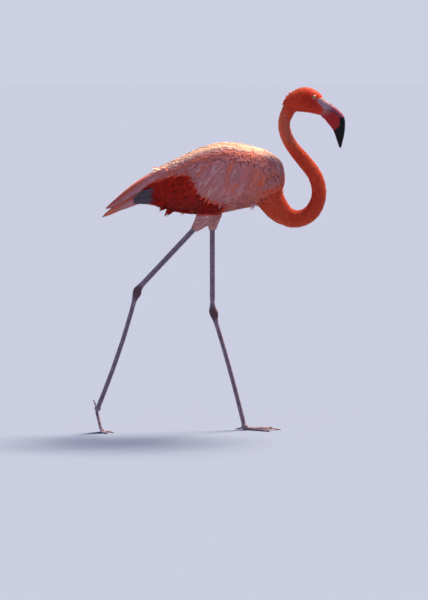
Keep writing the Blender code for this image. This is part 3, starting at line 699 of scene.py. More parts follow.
def make_lids(side):
    """The bare skin round the eye, folded in rings down to the lids' rim: points, quads and rim."""
    turn = np.linspace(0, 2 * math.pi, LID_POINTS, endpoint=False)
    eye = EYE[side]
    lengthwise, upward = np.sin(turn), np.cos(turn)
    opening = LID_OPENING * (1 - 0.13 * upward**2 - 0.07 * np.maximum(upward, 0))
    sunk = []
    for ahead, above in zip(lengthwise * LID_REACH, upward * LID_REACH):
        start = Vector((eye[0] + ahead, SIGN[side] * 0.06, eye[2] + above))
        sunk.append(abs(body.tree.ray_cast(start, Vector((0, -SIGN[side], 0)))[0].y) - LID_SINK)
    sunk = np.array(sunk)
    on_ball = abs(eye[1]) + np.sqrt(EYE_RADIUS**2 - opening**2) + 0.25 * MM
    share = np.linspace(0, 1, LID_RINGS)[:, None]  # from the edge of the bare skin to the lids' rim
    reach = LID_REACH + (opening - LID_REACH) * share
    waves = np.sin(2 * math.pi * share * LID_FOLDS + 0.8 * upward)
    folds = 0.16 * MM * waves * np.sin(math.pi * share) ** 0.5
    brow = 0.55 * MM * np.maximum(upward, 0) * hump(share, 0.45, 0.28)
    out = sunk + (on_ball - sunk) * share**0.8 + folds + brow + 0.30 * MM * hump(share, 0.92, 0.06)
    inner = np.array((0.97, 0.55, 0.0))[:, None]  # back under itself, inside the ball and the head
    reach = np.concatenate([reach, LID_REACH + (opening * 1.02 - LID_REACH) * inner])
    out = np.concatenate([out, sunk + (on_ball - sunk) * inner - 1.8 * MM])
    margin = np.concatenate([step(share, 0.84, 0.93)[:, 0], [1.0, 0.0, 0.0]])
    ring = np.stack([eye[0] + reach * lengthwise, SIGN[side] * out, eye[2] + reach * upward], axis=-1)
    quads = tube(len(reach), LID_POINTS, closed=True)
    if side == "right":
        quads = quads[:, ::-1]
    return ring.reshape(-1, 3), quads, np.repeat(margin, LID_POINTS)


def make_skin():
    """One skin: the body under the plumage, the legs and the lids."""
    under = body.points - body.normals * coat_depth()[:, None]
    bare = bareness(body.points) * is_home(body.home, "head")
    legs, groove, joint = make_leg_skin()
    pieces = [
        (under, body.quads, {"pigment": body.pigment, "bare": bare}),
        (legs.points, legs.quads, {"pigment": 0.3, "leg": 1.0, "joint": joint, "groove": groove}),
    ]
    for side in SIDES:
        points, quads, margin = make_lids(side)
        off_eye = np.linalg.norm((points - EYE[side])[:, [0, 2]], axis=1)
        bare_lid = 0.40 * step(off_eye, LID_REACH, LID_REACH * 0.75)
        pieces.append((points, quads, {"pigment": 0.82, "bare": bare_lid, "lid": margin}))
    numbers = {
        name: np.concatenate([np.zeros(len(points)) + values.get(name, 0.0) for points, _, values in pieces])
        for name in SKIN_LABELS
    }
    starts = np.cumsum([0] + [len(piece[0]) for piece in pieces])
    points = np.concatenate([piece[0] for piece in pieces])
    quads = np.concatenate([piece[1] + start for piece, start in zip(pieces, starts)])
    make_piece("skin", "scaly_leg_skin", FLESH + BARE_LEGS, points, quads, numbers, skin_material())


# ---------------- feathers

# A vane's section, as places across it and up or down, and the quads that close its root.
NARROW = ((-1.0, 0.0), (0.0, 1.0), (1.0, 0.0), (0.0, -1.0))
BROAD = ((-1.0, 0.0), (-0.5, 0.8), (0.0, 1.3), (0.5, 0.8), (1.0, 0.0), (0.5, -0.8), (0.0, -1.3), (-0.5, -0.8))
ROOT_ENDS = {NARROW: ((0, 3, 2, 1),), BROAD: ((0, 7, 2, 1), (7, 6, 3, 2), (6, 5, 4, 3))}
BAKE_PATCH = 0.003  # the side of each vane's place on the map for baking
BARB_SLANT = 1.1  # how far the barbs lean towards the tip


def rounded(share):
    """The outline of a contour feather: narrow at the root and round at the tip."""
    return np.maximum(0.10, np.sin(math.pi * np.clip(share, 0, 1) ** 0.62 * 0.88 + 0.12)) ** 0.8


def lance(share):
    """The outline of a long plume: widest near the root and drawn out to a point."""
    return np.maximum(0.06, np.sin(math.pi * np.clip(share * 0.97 + 0.02, 0, 1) ** 0.70)) ** 0.9


def blade(share):
    """The outline of a flight feather: parallel sides and a short rounded tip."""
    return np.maximum(0.08, np.minimum(1.0, share * 9 + 0.25) * np.sqrt(1 - np.clip(share, 0, 0.995) ** 7))


def lie_of_coat(places, faces):
    return body.face_lie[faces]


@dataclass
class Tract:
    """How the feathers of one tract are made and laid. Lengths are in metres."""

    half_width: float = 0.0
    spacing: float = 0.0  # between roots
    length: float = 0.0
    depth: float = 0.0  # of the roots, under the outer form
    stations: int = 5  # along each feather
    outline: object = rounded
    section: tuple = NARROW
    thickness: float = 0.14 * MM
    camber: float = 0.25  # how far the edges fall, in half widths
    ragged: float = 0.0  # how deep the edges are nicked
    strands: int = 0  # that each feather is parted into
    fill: float = 1.9  # how much of its width they would cover side by side
    proud: float = 0.2 * MM  # how far the tips stand over the outer form
    loose: float = 0.15 * MM  # how much that varies
    spread: float = 0.10  # how much the way varies
    heading: object = lie_of_coat
    stiffness: float = 0.5  # how much a shaft keeps to its own way
    length_at: object = None
    pigment_at: object = None
    tip_tint_root_shade: float = 0.0  # more pigment at the tip than at the root; below 0, darker roots, partly paler tips and partly painted shade
    pigment_spread: float = 0.04
    tone_spread: float = 0.06


def scatter(wanted, spacing):
    """Roots a spacing apart over the wanted faces of the body: their places and faces."""
    wanted = np.flatnonzero(wanted)
    faces = np.repeat(wanted, dice.poisson(3.0 * body.areas[wanted] / spacing**2))
    faces = faces[dice.permutation(len(faces))]
    u, v = dice.random((2, len(faces), 1))
    a, b, c, d = (body.points[body.quads[faces, i]] for i in range(4))
    places = (a * (1 - u) + b * u) * (1 - v) + (d * (1 - u) + c * u) * v
    cells = np.floor(places / spacing).astype(int).tolist()
    taken, kept = {}, []
    around = [(i, j, k) for i in (-1, 0, 1) for j in (-1, 0, 1) for k in (-1, 0, 1)]
    for number, ((i, j, k), place) in enumerate(zip(cells, places.tolist())):
        near = (other for di, dj, dk in around for other in taken.get((i + di, j + dj, k + dk), ()))
        if all(math.dist(place, other) > spacing for other in near):
            taken.setdefault((i, j, k), []).append(place)
            kept.append(number)
    return places[kept], faces[kept]


def walk(tract, places, faces, lengths, turn):
    """Each feather's shaft over the body: places, normals and ways, by station."""
    at, face, way = places, faces, None
    track = []
    for number in range(tract.stations):
        normal = body.face_normals[face]
        wanted = unit(tract.heading(at, face))
        wanted = unit(wanted + np.cross(normal, wanted) * turn)
        way = wanted if way is None else unit(way * tract.stiffness + wanted * (1 - tract.stiffness))
        way = unit(way - normal * dot(way, normal))
        track.append((at, normal, way))
        if number < tract.stations - 1:
            at, face = body.nearest(at + way * (lengths / (tract.stations - 1))[:, None])
    return [np.stack(column, axis=1) for column in zip(*track)]


def vane_mesh(tract, shaft, normal, way, half_width):
    """Closed vanes about the shafts: points, quads, and each point's share along and across."""
    count, stations = shaft.shape[:2]
    share = np.linspace(0, 1, stations)
    across, face = np.array(tract.section).T
    size = tract.outline(share)[None, :] * half_width[:, None]
    if tract.ragged:
        size = size * (1 - tract.ragged * dice.random((count, stations)) * (share > 0.35))
    side = unit(np.cross(normal, way))
    thick = tract.thickness * np.minimum(1.0, tract.outline(share))
    sideways = side[:, :, None] * (size[:, :, None] * across)[..., None]
    drop = -tract.camber * size[:, :, None] * across**2 + thick[None, :, None] * face
    points = shaft[:, :, None] + sideways + normal[:, :, None] * drop[..., None]
    ring = len(across)
    root_end = np.array(ROOT_ENDS[tract.section])
    quads = np.concatenate([tube(stations, ring), root_end, root_end[:, ::-1] + (stations - 1) * ring])
    every = quads[None] + (np.arange(count) * stations * ring)[:, None, None]
    along = np.broadcast_to(share[None, :, None], (count, stations, ring))
    aside = np.broadcast_to(across[None, None, :], (count, stations, ring))
    return points.reshape(-1, 3), every.reshape(-1, 4), along, aside


def combed(tract, shaft, normal, way, half_width):
    """Parts each plume into loose strands that splay towards its tip: their shafts and sizes."""
    count, stations, strands = *shaft.shape[:2], tract.strands
    aside = np.linspace(-1, 1, strands) + dice.normal(0, 0.5 / strands, (count, strands))
    start = 0.10 + 0.25 * np.abs(aside) * dice.random((count, strands))
    end = 1.0 - 0.38 * np.abs(aside) ** 1.5 - 0.14 * dice.random((count, strands))
    share = start[..., None] + (end - start)[..., None] * np.linspace(0, 1, stations)
    place = np.clip(share, 0, 0.9999) * (stations - 1)
    below = place.astype(int)
    part = (place - below)[..., None]
    plume = np.arange(count)[:, None, None]
    shaft, normal, way, side = (
        values[plume, below] * (1 - part) + values[plume, below + 1] * part
        for values in (shaft, normal, way, np.cross(normal, way))
    )
    curl = dice.normal(0, 0.30, (count, strands, 1)) * (share - start[..., None]) ** 2
    reach = half_width[:, None, None] * (tract.outline(share) * aside[..., None] + curl)
    arch = 0.16 * half_width[:, None, None] * (1 - aside[..., None] ** 2) * tract.outline(share)
    lift = arch + dice.normal(0, 0.25 * MM, (count, strands, 1)) * share
    shaft = shaft + side * reach[..., None] + normal * lift[..., None]
    sizes = np.repeat(half_width * tract.fill / strands, strands) * dice.uniform(0.7, 1.3, count * strands)
    flat = (values.reshape(count * strands, stations, 3) for values in (shaft, unit(normal), unit(way)))
    return (*flat, sizes)


def turn_round(faces):
    """The turn of each face's normal round the lie of the coat, from 0 to 1."""
    lie, normal = body.face_lie[faces], body.face_normals[faces]
    above = unit(np.cross(lie, (0.0, 1.0, 0.0)))
    return np.arctan2(normal[:, 1], dot(normal, above)[:, 0]) / (2 * math.pi) + 0.5


class Coat:
    """Feathers gathered for one piece."""

    def __init__(self):
        self.vanes, self.count = [], 0

    def add(self, tract, faces, track, half_width, length, pigment, tone):
        """Adds vanes along the shafts of a track, with their roots on the given faces of the body."""
        if tract.strands:
            *track, half_width = combed(tract, *track, half_width)
            each = (np.repeat(v, tract.strands) for v in (faces, length, pigment, tone))
            faces, length, pigment, tone = each
            pigment = pigment + dice.normal(0, 0.02, len(pigment))
            tone = tone + dice.normal(0, 0.04, len(tone))
        points, quads, along, aside = vane_mesh(tract, *track, half_width)
        length, half_width, pigment, tone = (v[:, None, None] for v in (length, half_width, pigment, tone))
        barb = (along * length + np.abs(aside) * half_width * BARB_SLANT) / MM
        # A deeper root is partly painted shade, under the feathers that overlap it.
        numbers = (pigment + tract.tip_tint_root_shade * (along - 0.5), tone + 0 * along, barb)
        root = np.stack([body.face_distance[faces] / body.distance.max(), turn_round(faces)], axis=1)
        patch = np.stack([along, aside / 2 + 0.5], axis=-1) * BAKE_PATCH
        bake_map = root[:, None, None, :] * (1 - BAKE_PATCH) + patch
        marks = np.stack(numbers, -1).reshape(-1, 3), bake_map.reshape(-1, 2), np.abs(aside).ravel() > 0.99
        self.vanes.append((points, quads + self.count, *marks))
        self.count += len(points)

    def grow(self, tract, wanted):
        """Covers the wanted faces of the body with a tract's feathers."""
        places, faces = scatter(wanted, tract.spacing)
        count = len(places)
        length = tract.length * dice.uniform(0.82, 1.18, count)
        if tract.length_at:
            length = length * tract.length_at(places)
        half_width = tract.half_width * dice.uniform(0.85, 1.15, count) * np.sqrt(length / tract.length)
        turn = dice.normal(0, tract.spread, (count, 1))
        shaft, normal, way = walk(tract, places, faces, length, turn)
        share = np.linspace(0, 1, tract.stations)
        height = -tract.depth * (1 - share) ** 1.4 + tract.proud * share
        height = height + dice.normal(0, tract.loose, (count, 1)) * share
        shaft = shaft + normal * height[..., None]
        if tract.pigment_at:
            pigment = tract.pigment_at(places)
        else:  # the colour of the place where the feather shows, near its tip
            pigment = body.face_pigment[body.nearest(shaft[:, -2])[1]]
        pigment = np.clip(pigment + dice.normal(0, tract.pigment_spread, count), 0.02, 0.98)
        tone = np.clip(dice.normal(1.0, tract.tone_spread, count), 0.8, 1.2)
        self.add(tract, faces, (shaft, normal, way), half_width, length, pigment, tone)

    def finish(self, name, slot, material, *nodes):
        points, quads, numbers, bake_map, rim = map(np.concatenate, zip(*self.vanes))
        numbers = dict(zip(("pigment", "tone", "barb"), numbers.T))
        make_piece(name, slot, nodes, points, quads, numbers, material, bake_map, rim)
        print(f"{name}: {len(quads) * 2} triangles")


# How steeply the wing's feathers fall, in degrees below straight back, by x behind the breast.
FALL = ((-0.358, 28.0), (-0.298, 38.0), (-0.228, 54.0), (-0.158, 64.0), (-0.088, 76.0), (-0.038, 88.0))


def fall_at(places):
    return np.radians(np.interp(places[:, 0] - BREAST, *zip(*FALL)))


def drape(places, faces):
    """The lie over the wing: down from the shoulder, and more and more backwards to the rear."""
    angle = fall_at(places)
    way = np.stack([-np.cos(angle), 0 * angle, -np.sin(angle)], axis=1)
    return way * 0.9 + body.face_lie[faces] * 0.1


def fall_to_hem(places):
    """How far each place is from the hem, down the drape."""
    angle = fall_at(places)
    reach = np.linspace(0.0, 0.16, 60)
    x = places[:, 0, None] - np.cos(angle)[:, None] * reach
    z = places[:, 2, None] - np.sin(angle)[:, None] * reach
    return reach[np.argmax(z < hem(x) - 2 * MM, axis=1)]


def plume_length(places):
    """Plumes run to just short of the hem, each by its own share."""
    length = fall_to_hem(places) * dice.uniform(0.72, 0.98, len(places))
    return np.clip(length, SHORTEST_PLUME, LONGEST_PLUME) / PLUME_TRACT.length


def in_streaks(places):
    """Waves 57, 25 and 14 mm long over the wing, which gather its plumes into streaks of a kind."""
    u = (places[:, 0] + 0.42 * places[:, 2]) / (9 * MM) + np.where(places[:, 1] > 0, 2.2, 0.0)
    return 0.5 + 0.5 * (0.5 * np.sin(u + 0.9) + 0.32 * np.sin(2.3 * u + 0.4) + 0.18 * np.sin(4.1 * u + 2.2))


def plume_pigment(places):
    """Mauve pink with pale and coral streaks, and peach over the shoulder, painted for the light on it."""
    x = places[:, 0] - BREAST
    streaks = in_streaks(places)
    coral, pale = step(streaks, 0.62, 0.86), step(streaks, 0.36, 0.16)
    low = step(over_hem(places), 0.030, 0.008) * step(x, -0.14, -0.18)
    # Painted light: warmer over the shoulder's front, where the lamp falls.
    front = step(x, -0.12, -0.03)
    return 0.37 + 0.12 * coral - 0.07 * pale * (1 - front) + 0.05 * low + 0.10 * front


def longer_behind(places):
    """Head feathers lengthen from the forehead to the nape."""
    return 0.55 + 0.9 * step(places[:, 0], HEAD_HIGH[0] - 0.02, HEAD_LOW[0] + 0.02)


def longer_from_shoulder(places):
    return 0.55 + 0.65 * step(places[:, 0], WING_FRONT, WING_FRONT - 0.15)


HEAD_TRACT = Tract(
    spacing=1.35 * MM, length=5.0 * MM, half_width=0.62 * MM, depth=1.1 * MM, thickness=0.07 * MM,
    stations=4, loose=0.10 * MM, camber=0.15, pigment_spread=0.015, tone_spread=0.03, length_at=longer_behind,
)
NECK_TRACT = Tract(
    spacing=1.75 * MM, length=11.0 * MM, half_width=0.85 * MM, depth=2.6 * MM, thickness=0.09 * MM,
    stations=4, loose=0.18 * MM, spread=0.12, camber=0.15, pigment_spread=0.025, tip_tint_root_shade=-0.04,
)
TRUNK_TRACT = Tract(
    spacing=2.8 * MM, length=25.0 * MM, half_width=1.9 * MM, depth=5.0 * MM,
    loose=0.2 * MM, camber=0.15, tip_tint_root_shade=-0.04, ragged=0.15,
)
THIGH_TRACT = Tract(
    spacing=2.3 * MM, length=12.0 * MM, half_width=1.1 * MM, depth=2.0 * MM, thickness=0.10 * MM,
    loose=0.35 * MM, spread=0.16,
)
WING_TRACT = Tract(
    spacing=4.2 * MM, length=30.0 * MM, half_width=3.2 * MM, depth=4.5 * MM, stations=6, loose=0.25 * MM,
    heading=drape, camber=0.15, pigment_spread=0.03, tone_spread=0.04, ragged=0.10,
    length_at=longer_from_shoulder,
)
SLEEK_TRACT = Tract(  # on the back and the red of the wing, where the coat lies smoothest
    spacing=2.8 * MM, length=24.0 * MM, half_width=2.1 * MM, depth=2.6 * MM, thickness=0.07 * MM,
    stations=6, proud=0.03 * MM, loose=0.02 * MM, spread=0.04, heading=drape, camber=0.0,
    pigment_spread=0.015, tone_spread=0.015,
)
PLUME_TRACT = Tract(
    spacing=8.8 * MM, length=80.0 * MM, half_width=6.2 * MM, depth=3.0 * MM, thickness=0.12 * MM,
    stations=8, outline=lance, strands=11, fill=2.5, camber=0.07, proud=0.7 * MM, loose=0.3 * MM,
    spread=0.11, heading=drape, stiffness=0.7, tip_tint_root_shade=-0.03, pigment_spread=0.03, tone_spread=0.04,
    length_at=plume_length, pigment_at=plume_pigment,
)


def make_coats(scarlet, pink):
    """The contour feathers, tract by tract."""
    home, place = body.face_home, body.of_faces(body.points)

    def piece(name, slot, material, *tracts):
        coat = Coat()
        for tract, wanted in tracts:
            coat.grow(tract, wanted)
        coat.finish(name, slot, material)

    feathered = is_home(home, "head") & (bareness(place) < BARE_FACE)
    piece("head_feathers", "scarlet_feather", scarlet, (HEAD_TRACT, feathered))
    for part in ("neck_upper", "neck_middle", "neck_bend", "neck_base"):
        piece(f"{part}_feathers", "scarlet_feather", scarlet, (NECK_TRACT, is_home(home, part)))
    back = (below_crest(place) < BACK_REACH) & (place[:, 2] > BACK_FLOOR)
    red = (over_hem(place) < 0) & (place[:, 0] - BREAST < -WING_RED_FROM)
    for side in SIDES:
        here = place[:, 1] * SIGN[side] > 0
        wing, trunk = is_home(home, f"wing_{side}"), is_home(home, "trunk") & here
        tracts = (TRUNK_TRACT, trunk & ~back), (SLEEK_TRACT, trunk & back)
        piece(f"body_feathers_{side}", "cream_pink_feather", pink, *tracts)
        piece(f"thigh_feathers_{side}", "thigh_down", pink, (THIGH_TRACT, is_home(home, f"thigh_{side}")))
        sleek = wing & (back | red)
        piece(f"wing_coverts_{side}", "pink_feather", pink, (WING_TRACT, wing & ~sleek), (SLEEK_TRACT, sleek))
        rooted = wing & ~back & (over_hem(place) > HEM_ROOM)
        rooted[rooted] = fall_to_hem(place[rooted]) > FALL_ROOM
        piece(f"wing_plumes_{side}", "pink_feather", pink, (PLUME_TRACT, rooted))


# ---------------- long feathers of wing and tail

# The middle line of each bundle of long feathers from under the coverts to the tip, with its half
# height and half width: x behind the breast, y, z, tall, wide.
PRIMARY_LINE = (
    (-0.278, 0.026, 0.622, 0.016, 0.003),
    (-0.318, 0.030, 0.616, 0.020, 0.003),
    (-0.357, 0.033, 0.614, 0.018, 0.004),
    (-0.387, 0.026, 0.607, 0.013, 0.003),
    (-0.409, 0.019, 0.599, 0.005, 0.001),
)
TERTIAL_LINE = (
    (-0.273, 0.022, 0.686, 0.006, 0.007),
    (-0.326, 0.024, 0.671, 0.014, 0.013),
    (-0.371, 0.019, 0.648, 0.016, 0.012),
    (-0.421, 0.012, 0.613, 0.012, 0.008),
    (-0.465, 0.007, 0.582, 0.003, 0.002),
)
TAIL_LINE = (
    (-0.328, 0.0, 0.636, 0.022, 0.022),
    (-0.371, 0.0, 0.619, 0.019, 0.025),
    (-0.416, 0.0, 0.596, 0.013, 0.024),
    (-0.451, 0.0, 0.575, 0.006, 0.016),
    (-0.477, 0.0, 0.559, 0.001, 0.003),
)


def bundle(coat, line, sign, feathers, tract):
    """Adds long feathers that follow a line, each at its own place round the line.

    Each feather gives its place up and out in the section, the way that it faces, the shares of
    the line where it starts and ends, and its amount of pigment.
    """
    line = np.array(line)
    curve = np.polyfit(np.linspace(0, 1, len(line)), line, 3)
    up, out, face_up, face_out, start, end, pigment = (np.array(column, float) for column in zip(*feathers))
    share = start[:, None] + (end - start)[:, None] * np.linspace(0, 1, tract.stations)
    x, y, z, tall, wide = (np.polyval(curve[:, i], share) for i in range(5))
    x = x + BREAST
    slope = unit(np.stack([np.gradient(x, axis=1), np.gradient(z, axis=1)], axis=-1))
    upward = np.stack([slope[..., 1], 0 * x, -slope[..., 0]], axis=-1)
    outward = np.array((0.0, sign, 0.0))
    shaft = np.stack([x, y * sign, z], axis=-1)
    shaft = shaft + upward * (up[:, None] * np.maximum(tall, 0.001))[..., None]
    shaft = shaft + outward * (out[:, None] * np.maximum(wide, 0.001))[..., None]
    way = unit(np.gradient(shaft, axis=1))
    facing = upward * face_up[:, None, None] + outward * face_out[:, None, None]
    normal = unit(facing - way * dot(facing, way))
    length = np.linalg.norm(shaft[:, -1] - shaft[:, 0], axis=1)
    half_width = tract.half_width * dice.uniform(0.92, 1.08, len(feathers))
    tone = np.clip(dice.normal(1.0, 0.05, len(feathers)), 0.85, 1.15)
    pigment = pigment + dice.normal(0, 0.03, len(feathers))
    coat.add(tract, body.nearest(shaft[:, 0])[1], (shaft, normal, way), half_width, length, pigment, tone)


def round_line(turns, depth, starts, ends, pigments, facing=1.0):
    """Feathers of a bundle at turns round its line, from 0 on top to 180 degrees below.

    They face outwards, or more to the top where facing is under 1.
    """
    turns = np.radians(turns)
    up, out = np.cos(turns) * depth, np.sin(turns) * depth
    starts = np.zeros(len(turns)) + starts
    return list(zip(up, out, np.cos(turns * facing), np.sin(turns * facing), starts, ends, pigments))


LONG_TRACT = Tract(
    half_width=6.2 * MM, section=BROAD, outline=blade, thickness=0.25 * MM, stations=16, camber=0.16,
    ragged=0.06,
)
PRIMARY_TRACT = replace(LONG_TRACT, half_width=5.4 * MM, outline=lance, camber=0.22, thickness=0.3 * MM)
FLUFF_TRACT = Tract(
    half_width=6.5 * MM, outline=lance, thickness=0.12 * MM, stations=8, strands=9, camber=0.10,
)


def make_primaries(side, material):
    """The black wing tip: eight primaries, each edge showing past the one over it."""
    count = 8
    heights, outs = np.linspace(1.05, -0.66, count), np.linspace(1.5, -0.9, count)
    ends = np.interp(np.linspace(0, 1, count), (0.0, 0.5, 0.85, 1.0), (0.66, 0.86, 1.0, 0.95))
    feathers = [(up, out, 0.35, 1.0, 0.0, end, 0.5) for up, out, end in zip(heights, outs, ends)]
    coat = Coat()
    bundle(coat, PRIMARY_LINE, SIGN[side], feathers, PRIMARY_TRACT)
    coat.finish(f"primary_feathers_{side}", "black_flight_feather", material, f"primaries_{side}")


def make_tertials(side, material):
    """Long coral feathers of the inner wing, which lie over the rump to the tail's end.

    Red coverts lie over the roots of the primaries, and a few pale plumes over the tertials.
    """
    coat = Coat()
    ends = 1.0 - 0.05 * np.abs(np.sin(5.0 * np.linspace(0, 1, 11)))
    # The top feathers are paler: painted light on the upper edge.
    pigments = (0.42, 0.38, 0.40, 0.46, 0.54, 0.48, 0.40, 0.34, 0.34, 0.38, 0.46)
    tertials = round_line(np.linspace(-35, 165, 11), 0.80, 0.0, ends, pigments, facing=0.7)
    bundle(coat, TERTIAL_LINE, SIGN[side], tertials, LONG_TRACT)
    ends, pigments = (0.50, 0.62, 0.56, 0.66, 0.54, 0.60, 0.46), (0.44, 0.34, 0.36, 0.32, 0.38, 0.36, 0.46)
    pale = round_line(np.linspace(62, 140, 7), 0.95, 0.05, ends, pigments)
    bundle(coat, TERTIAL_LINE, SIGN[side], pale, replace(FLUFF_TRACT, strands=7, half_width=5.5 * MM))
    heights, ends = np.linspace(0.8, -1.0, 9), (0.50, 0.54, 0.50, 0.56, 0.52, 0.58, 0.54, 0.60, 0.54)
    coverts = [(up, 2.4 - abs(up), 0.2, 1.0, 0.0, end, 0.93) for up, end in zip(heights, ends)]
    bundle(coat, PRIMARY_LINE, SIGN[side], coverts, replace(FLUFF_TRACT, strands=6, half_width=4.5 * MM))
    coat.finish(f"tertial_feathers_{side}", "coral_feather", material, f"tertials_{side}")


def make_tail(material):
    """The short tail, closed behind the body, with pale loose coverts under it."""
    coat = Coat()
    fringe = np.abs(np.linspace(-1, 1, 15))
    ends = 1.0 - 0.16 * fringe**1.5
    closed = round_line(np.linspace(-125, 125, 15), 0.80, 0.0, ends, 0.46 + 0.10 * fringe)
    bundle(coat, TAIL_LINE, 1.0, closed, replace(LONG_TRACT, half_width=6.5 * MM))
    turns = np.concatenate([np.linspace(92, 268, 16), np.linspace(100, 260, 11)])
    count = len(turns)
    starts, ends = dice.uniform(-0.12, 0.04, count), dice.uniform(0.46, 0.78, count)
    under = round_line(turns, 0.98, starts, ends, dice.uniform(0.30, 0.42, count))
    bundle(coat, TAIL_LINE, 1.0, under, FLUFF_TRACT)
    coat.finish("tail_feathers", "coral_feather", material, "tail")


# Loose tufts that stand out of the coat: x behind the breast, y, z, then way, length, half width,
# plumes and pigment.
TUFTS = (
    ((-0.290, 0.026, 0.590), (-0.70, 0.05, -0.55), 0.026, 0.0036, 4, 0.90),
    ((-0.302, 0.024, 0.594), (-0.88, 0.05, -0.30), 0.024, 0.0034, 4, 0.92),
    ((-0.268, 0.030, 0.584), (-0.90, 0.05, -0.22), 0.024, 0.0036, 4, 0.92),
    ((-0.246, 0.032, 0.580), (-0.92, 0.05, -0.14), 0.026, 0.0040, 4, 0.90),
    ((-0.080, 0.040, 0.598), (-0.15, 0.05, -1.00), 0.026, 0.0026, 2, 0.28),
    ((-0.104, 0.046, 0.594), (-0.75, 0.05, -0.30), 0.024, 0.0040, 3, 0.34),
    ((-0.148, 0.052, 0.586), (-0.85, 0.00, -0.25), 0.024, 0.0045, 3, 0.42),
    ((-0.318, 0.020, 0.676), (-0.95, 0.05, 0.40), 0.032, 0.0028, 3, 0.03),
    ((-0.298, 0.018, 0.686), (-0.95, 0.05, 0.12), 0.026, 0.0030, 3, 0.24),
    ((-0.383, 0.010, 0.606), (-0.80, 0.10, -0.42), 0.030, 0.0050, 3, 0.28),
    ((-0.373, 0.014, 0.600), (-0.80, 0.10, -0.24), 0.026, 0.0050, 3, 0.32),
    ((0.010, 0.003, 0.858), (-0.50, 0.06, -0.60), 0.010, 0.0014, 9, 0.74),
    ((0.010, 0.006, 0.866), (-0.60, 0.10, -0.50), 0.010, 0.0014, 9, 0.72),
    ((0.013, 0.004, 0.874), (-0.66, 0.06, -0.36), 0.009, 0.0014, 9, 0.73),
    ((0.018, 0.003, 0.882), (-0.75, 0.05, -0.20), 0.008, 0.0013, 9, 0.73),
)
TUFT_TRACT = Tract(
    outline=lance, thickness=0.11 * MM, stations=7, strands=6, fill=2.8, camber=0.10, tip_tint_root_shade=-0.06,
)


def make_tufts(material):
    """The tufts that the wind lifts out of the coat, on both sides."""
    coat = Coat()
    share = np.linspace(0, 1, TUFT_TRACT.stations)[:, None]
    for side in SIDES:
        mirror = np.array((1.0, SIGN[side], 1.0))
        facing = np.array((0.0, 0.6 * SIGN[side], 0.8))
        for place, way, length, half_width, plumes, pigment in TUFTS:
            near, faces = body.nearest(np.array([(np.array(place) + (BREAST, 0, 0)) * mirror]))
            droop = np.array((-0.15, 0.0, -0.25)) * length
            shafts = []
            for _ in range(plumes):
                apart = dice.normal(0, 1.2 * MM + 0.2 * half_width, 3)
                root = near[0] - body.normals[body.quads[faces[0], 0]] * 2 * MM + apart
                along = unit(np.array(way) * mirror + dice.normal(0, 0.12, 3))
                shafts.append(root + along * length * share * dice.uniform(0.7, 1.1) + droop * share**2)
            shafts = np.array(shafts)
            ways = unit(np.gradient(shafts, axis=1))
            normals = unit(facing - ways * dot(facing, ways))
            numbers = (np.full(plumes, value) for value in (half_width, length, pigment, 1.0))
            coat.add(TUFT_TRACT, np.repeat(faces, plumes), (shafts, normals, ways), *numbers)
    coat.finish("loose_tufts", "cream_pink_feather", material)


# ---------------- bill, eyes and claws


# Places on the bill from the side: forward of its root, and up from its tip.
BLACK_LEVEL = 80.5 * MM  # the bill is black below this
PATCH_CORNER, PATCH_SLOPE = (29.0 * MM, 48.0 * MM), (11.0, 8.0)  # the lower edge of the red patch
PATCH_END = 41.5 * MM  # and its front edge
NOSTRIL, SLIT_WAY = (20.5 * MM, -16.5 * MM), (0.82, -0.57)  # up from the top of the root
HORN = {"upper": ("a58891", "8b3d54"), "lower": ("aa6c6a", "9e1b21")}  # at the root and past it


def blackness(part, places, low):
    """How far inside the black tip the places lie, in millimetres: negative on the pale horn.

    The black starts level at the bend of the upper half, and wraps round the red patch of the lower.
    """
    ahead, above = places[:, 0] - low[0], places[:, 2] - low[2]
    level = BLACK_LEVEL - above
    if part == "upper":
        return level / MM
    slant = unit(np.array(PATCH_SLOPE))
    below = (ahead - PATCH_CORNER[0]) * slant[1] - (above - PATCH_CORNER[1]) * slant[0]
    beyond = ahead - PATCH_END
    softness = 2.0 * MM
    joined = softness * np.log(np.exp(below / softness) + np.exp(beyond / softness))
    return np.minimum(joined, level + 1 * MM) / MM


def make_bill():
    """Both mandibles, with a lip along the gape and nostril slits."""
    surfaces = {part: fused([f"bill_{part}"], 0.0, BILL_VOXEL, 1) for part in HORN}
    low, high = corners_of("bill_upper")
    nostril = np.array((low[0], high[2])) + NOSTRIL
    run = unit(np.array(SLIT_WAY))
    for part, surface in surfaces.items():
        points, normals = surface.points, surface.normals
        close, _ = surfaces["lower" if part == "upper" else "upper"].nearest(points)
        gap = np.linalg.norm(points - close, axis=1)
        sideways = step(np.abs(normals[:, 1]), 0.1, 0.6)
        lip = hump(gap, 2.2 * MM, 1.0 * MM) * sideways
        closing = step(gap, 1.2 * MM, 0.5 * MM) * (1 - sideways)  # the halves meet along the gape
        shift = 0.15 * MM * lip + 0.5 * MM * closing
        if part == "upper":
            flat = points[:, [0, 2]] - nostril
            lengthwise, across = flat @ run, flat @ np.array((-run[1], run[0]))
            slit = np.exp(-((lengthwise / (5.0 * MM)) ** 4) - (across / (0.9 * MM)) ** 2)
            shift = shift - 1.1 * MM * slit * sideways
        moved = points + normals * shift[:, None]
        moved[:, 0] -= 2.2 * MM * step(moved[:, 0] - low[0], 1.2 * MM, 0.4 * MM)  # sunk into the face
        from_root = np.linalg.norm(moved[:, [0, 2]] - np.array((low[0], high[2] - 0.02)), axis=1)
        numbers = {
            "tipward": blackness(part, moved, low),
            "rootward": step(from_root, 0.004, 0.030),
            # painted shade in the gap where the halves meet
            "gape": 0.9 * step(gap, 3.0 * MM, 1.6 * MM) * step(from_root, 0.006, 0.018),
        }
        material = bill_material(f"bill_keratin_{part}", *HORN[part])
        mesh = (moved, surface.quads, numbers, material)
        make_piece(f"bill_horn_{part}", "bill_horn", [f"bill_{part}"], *mesh)


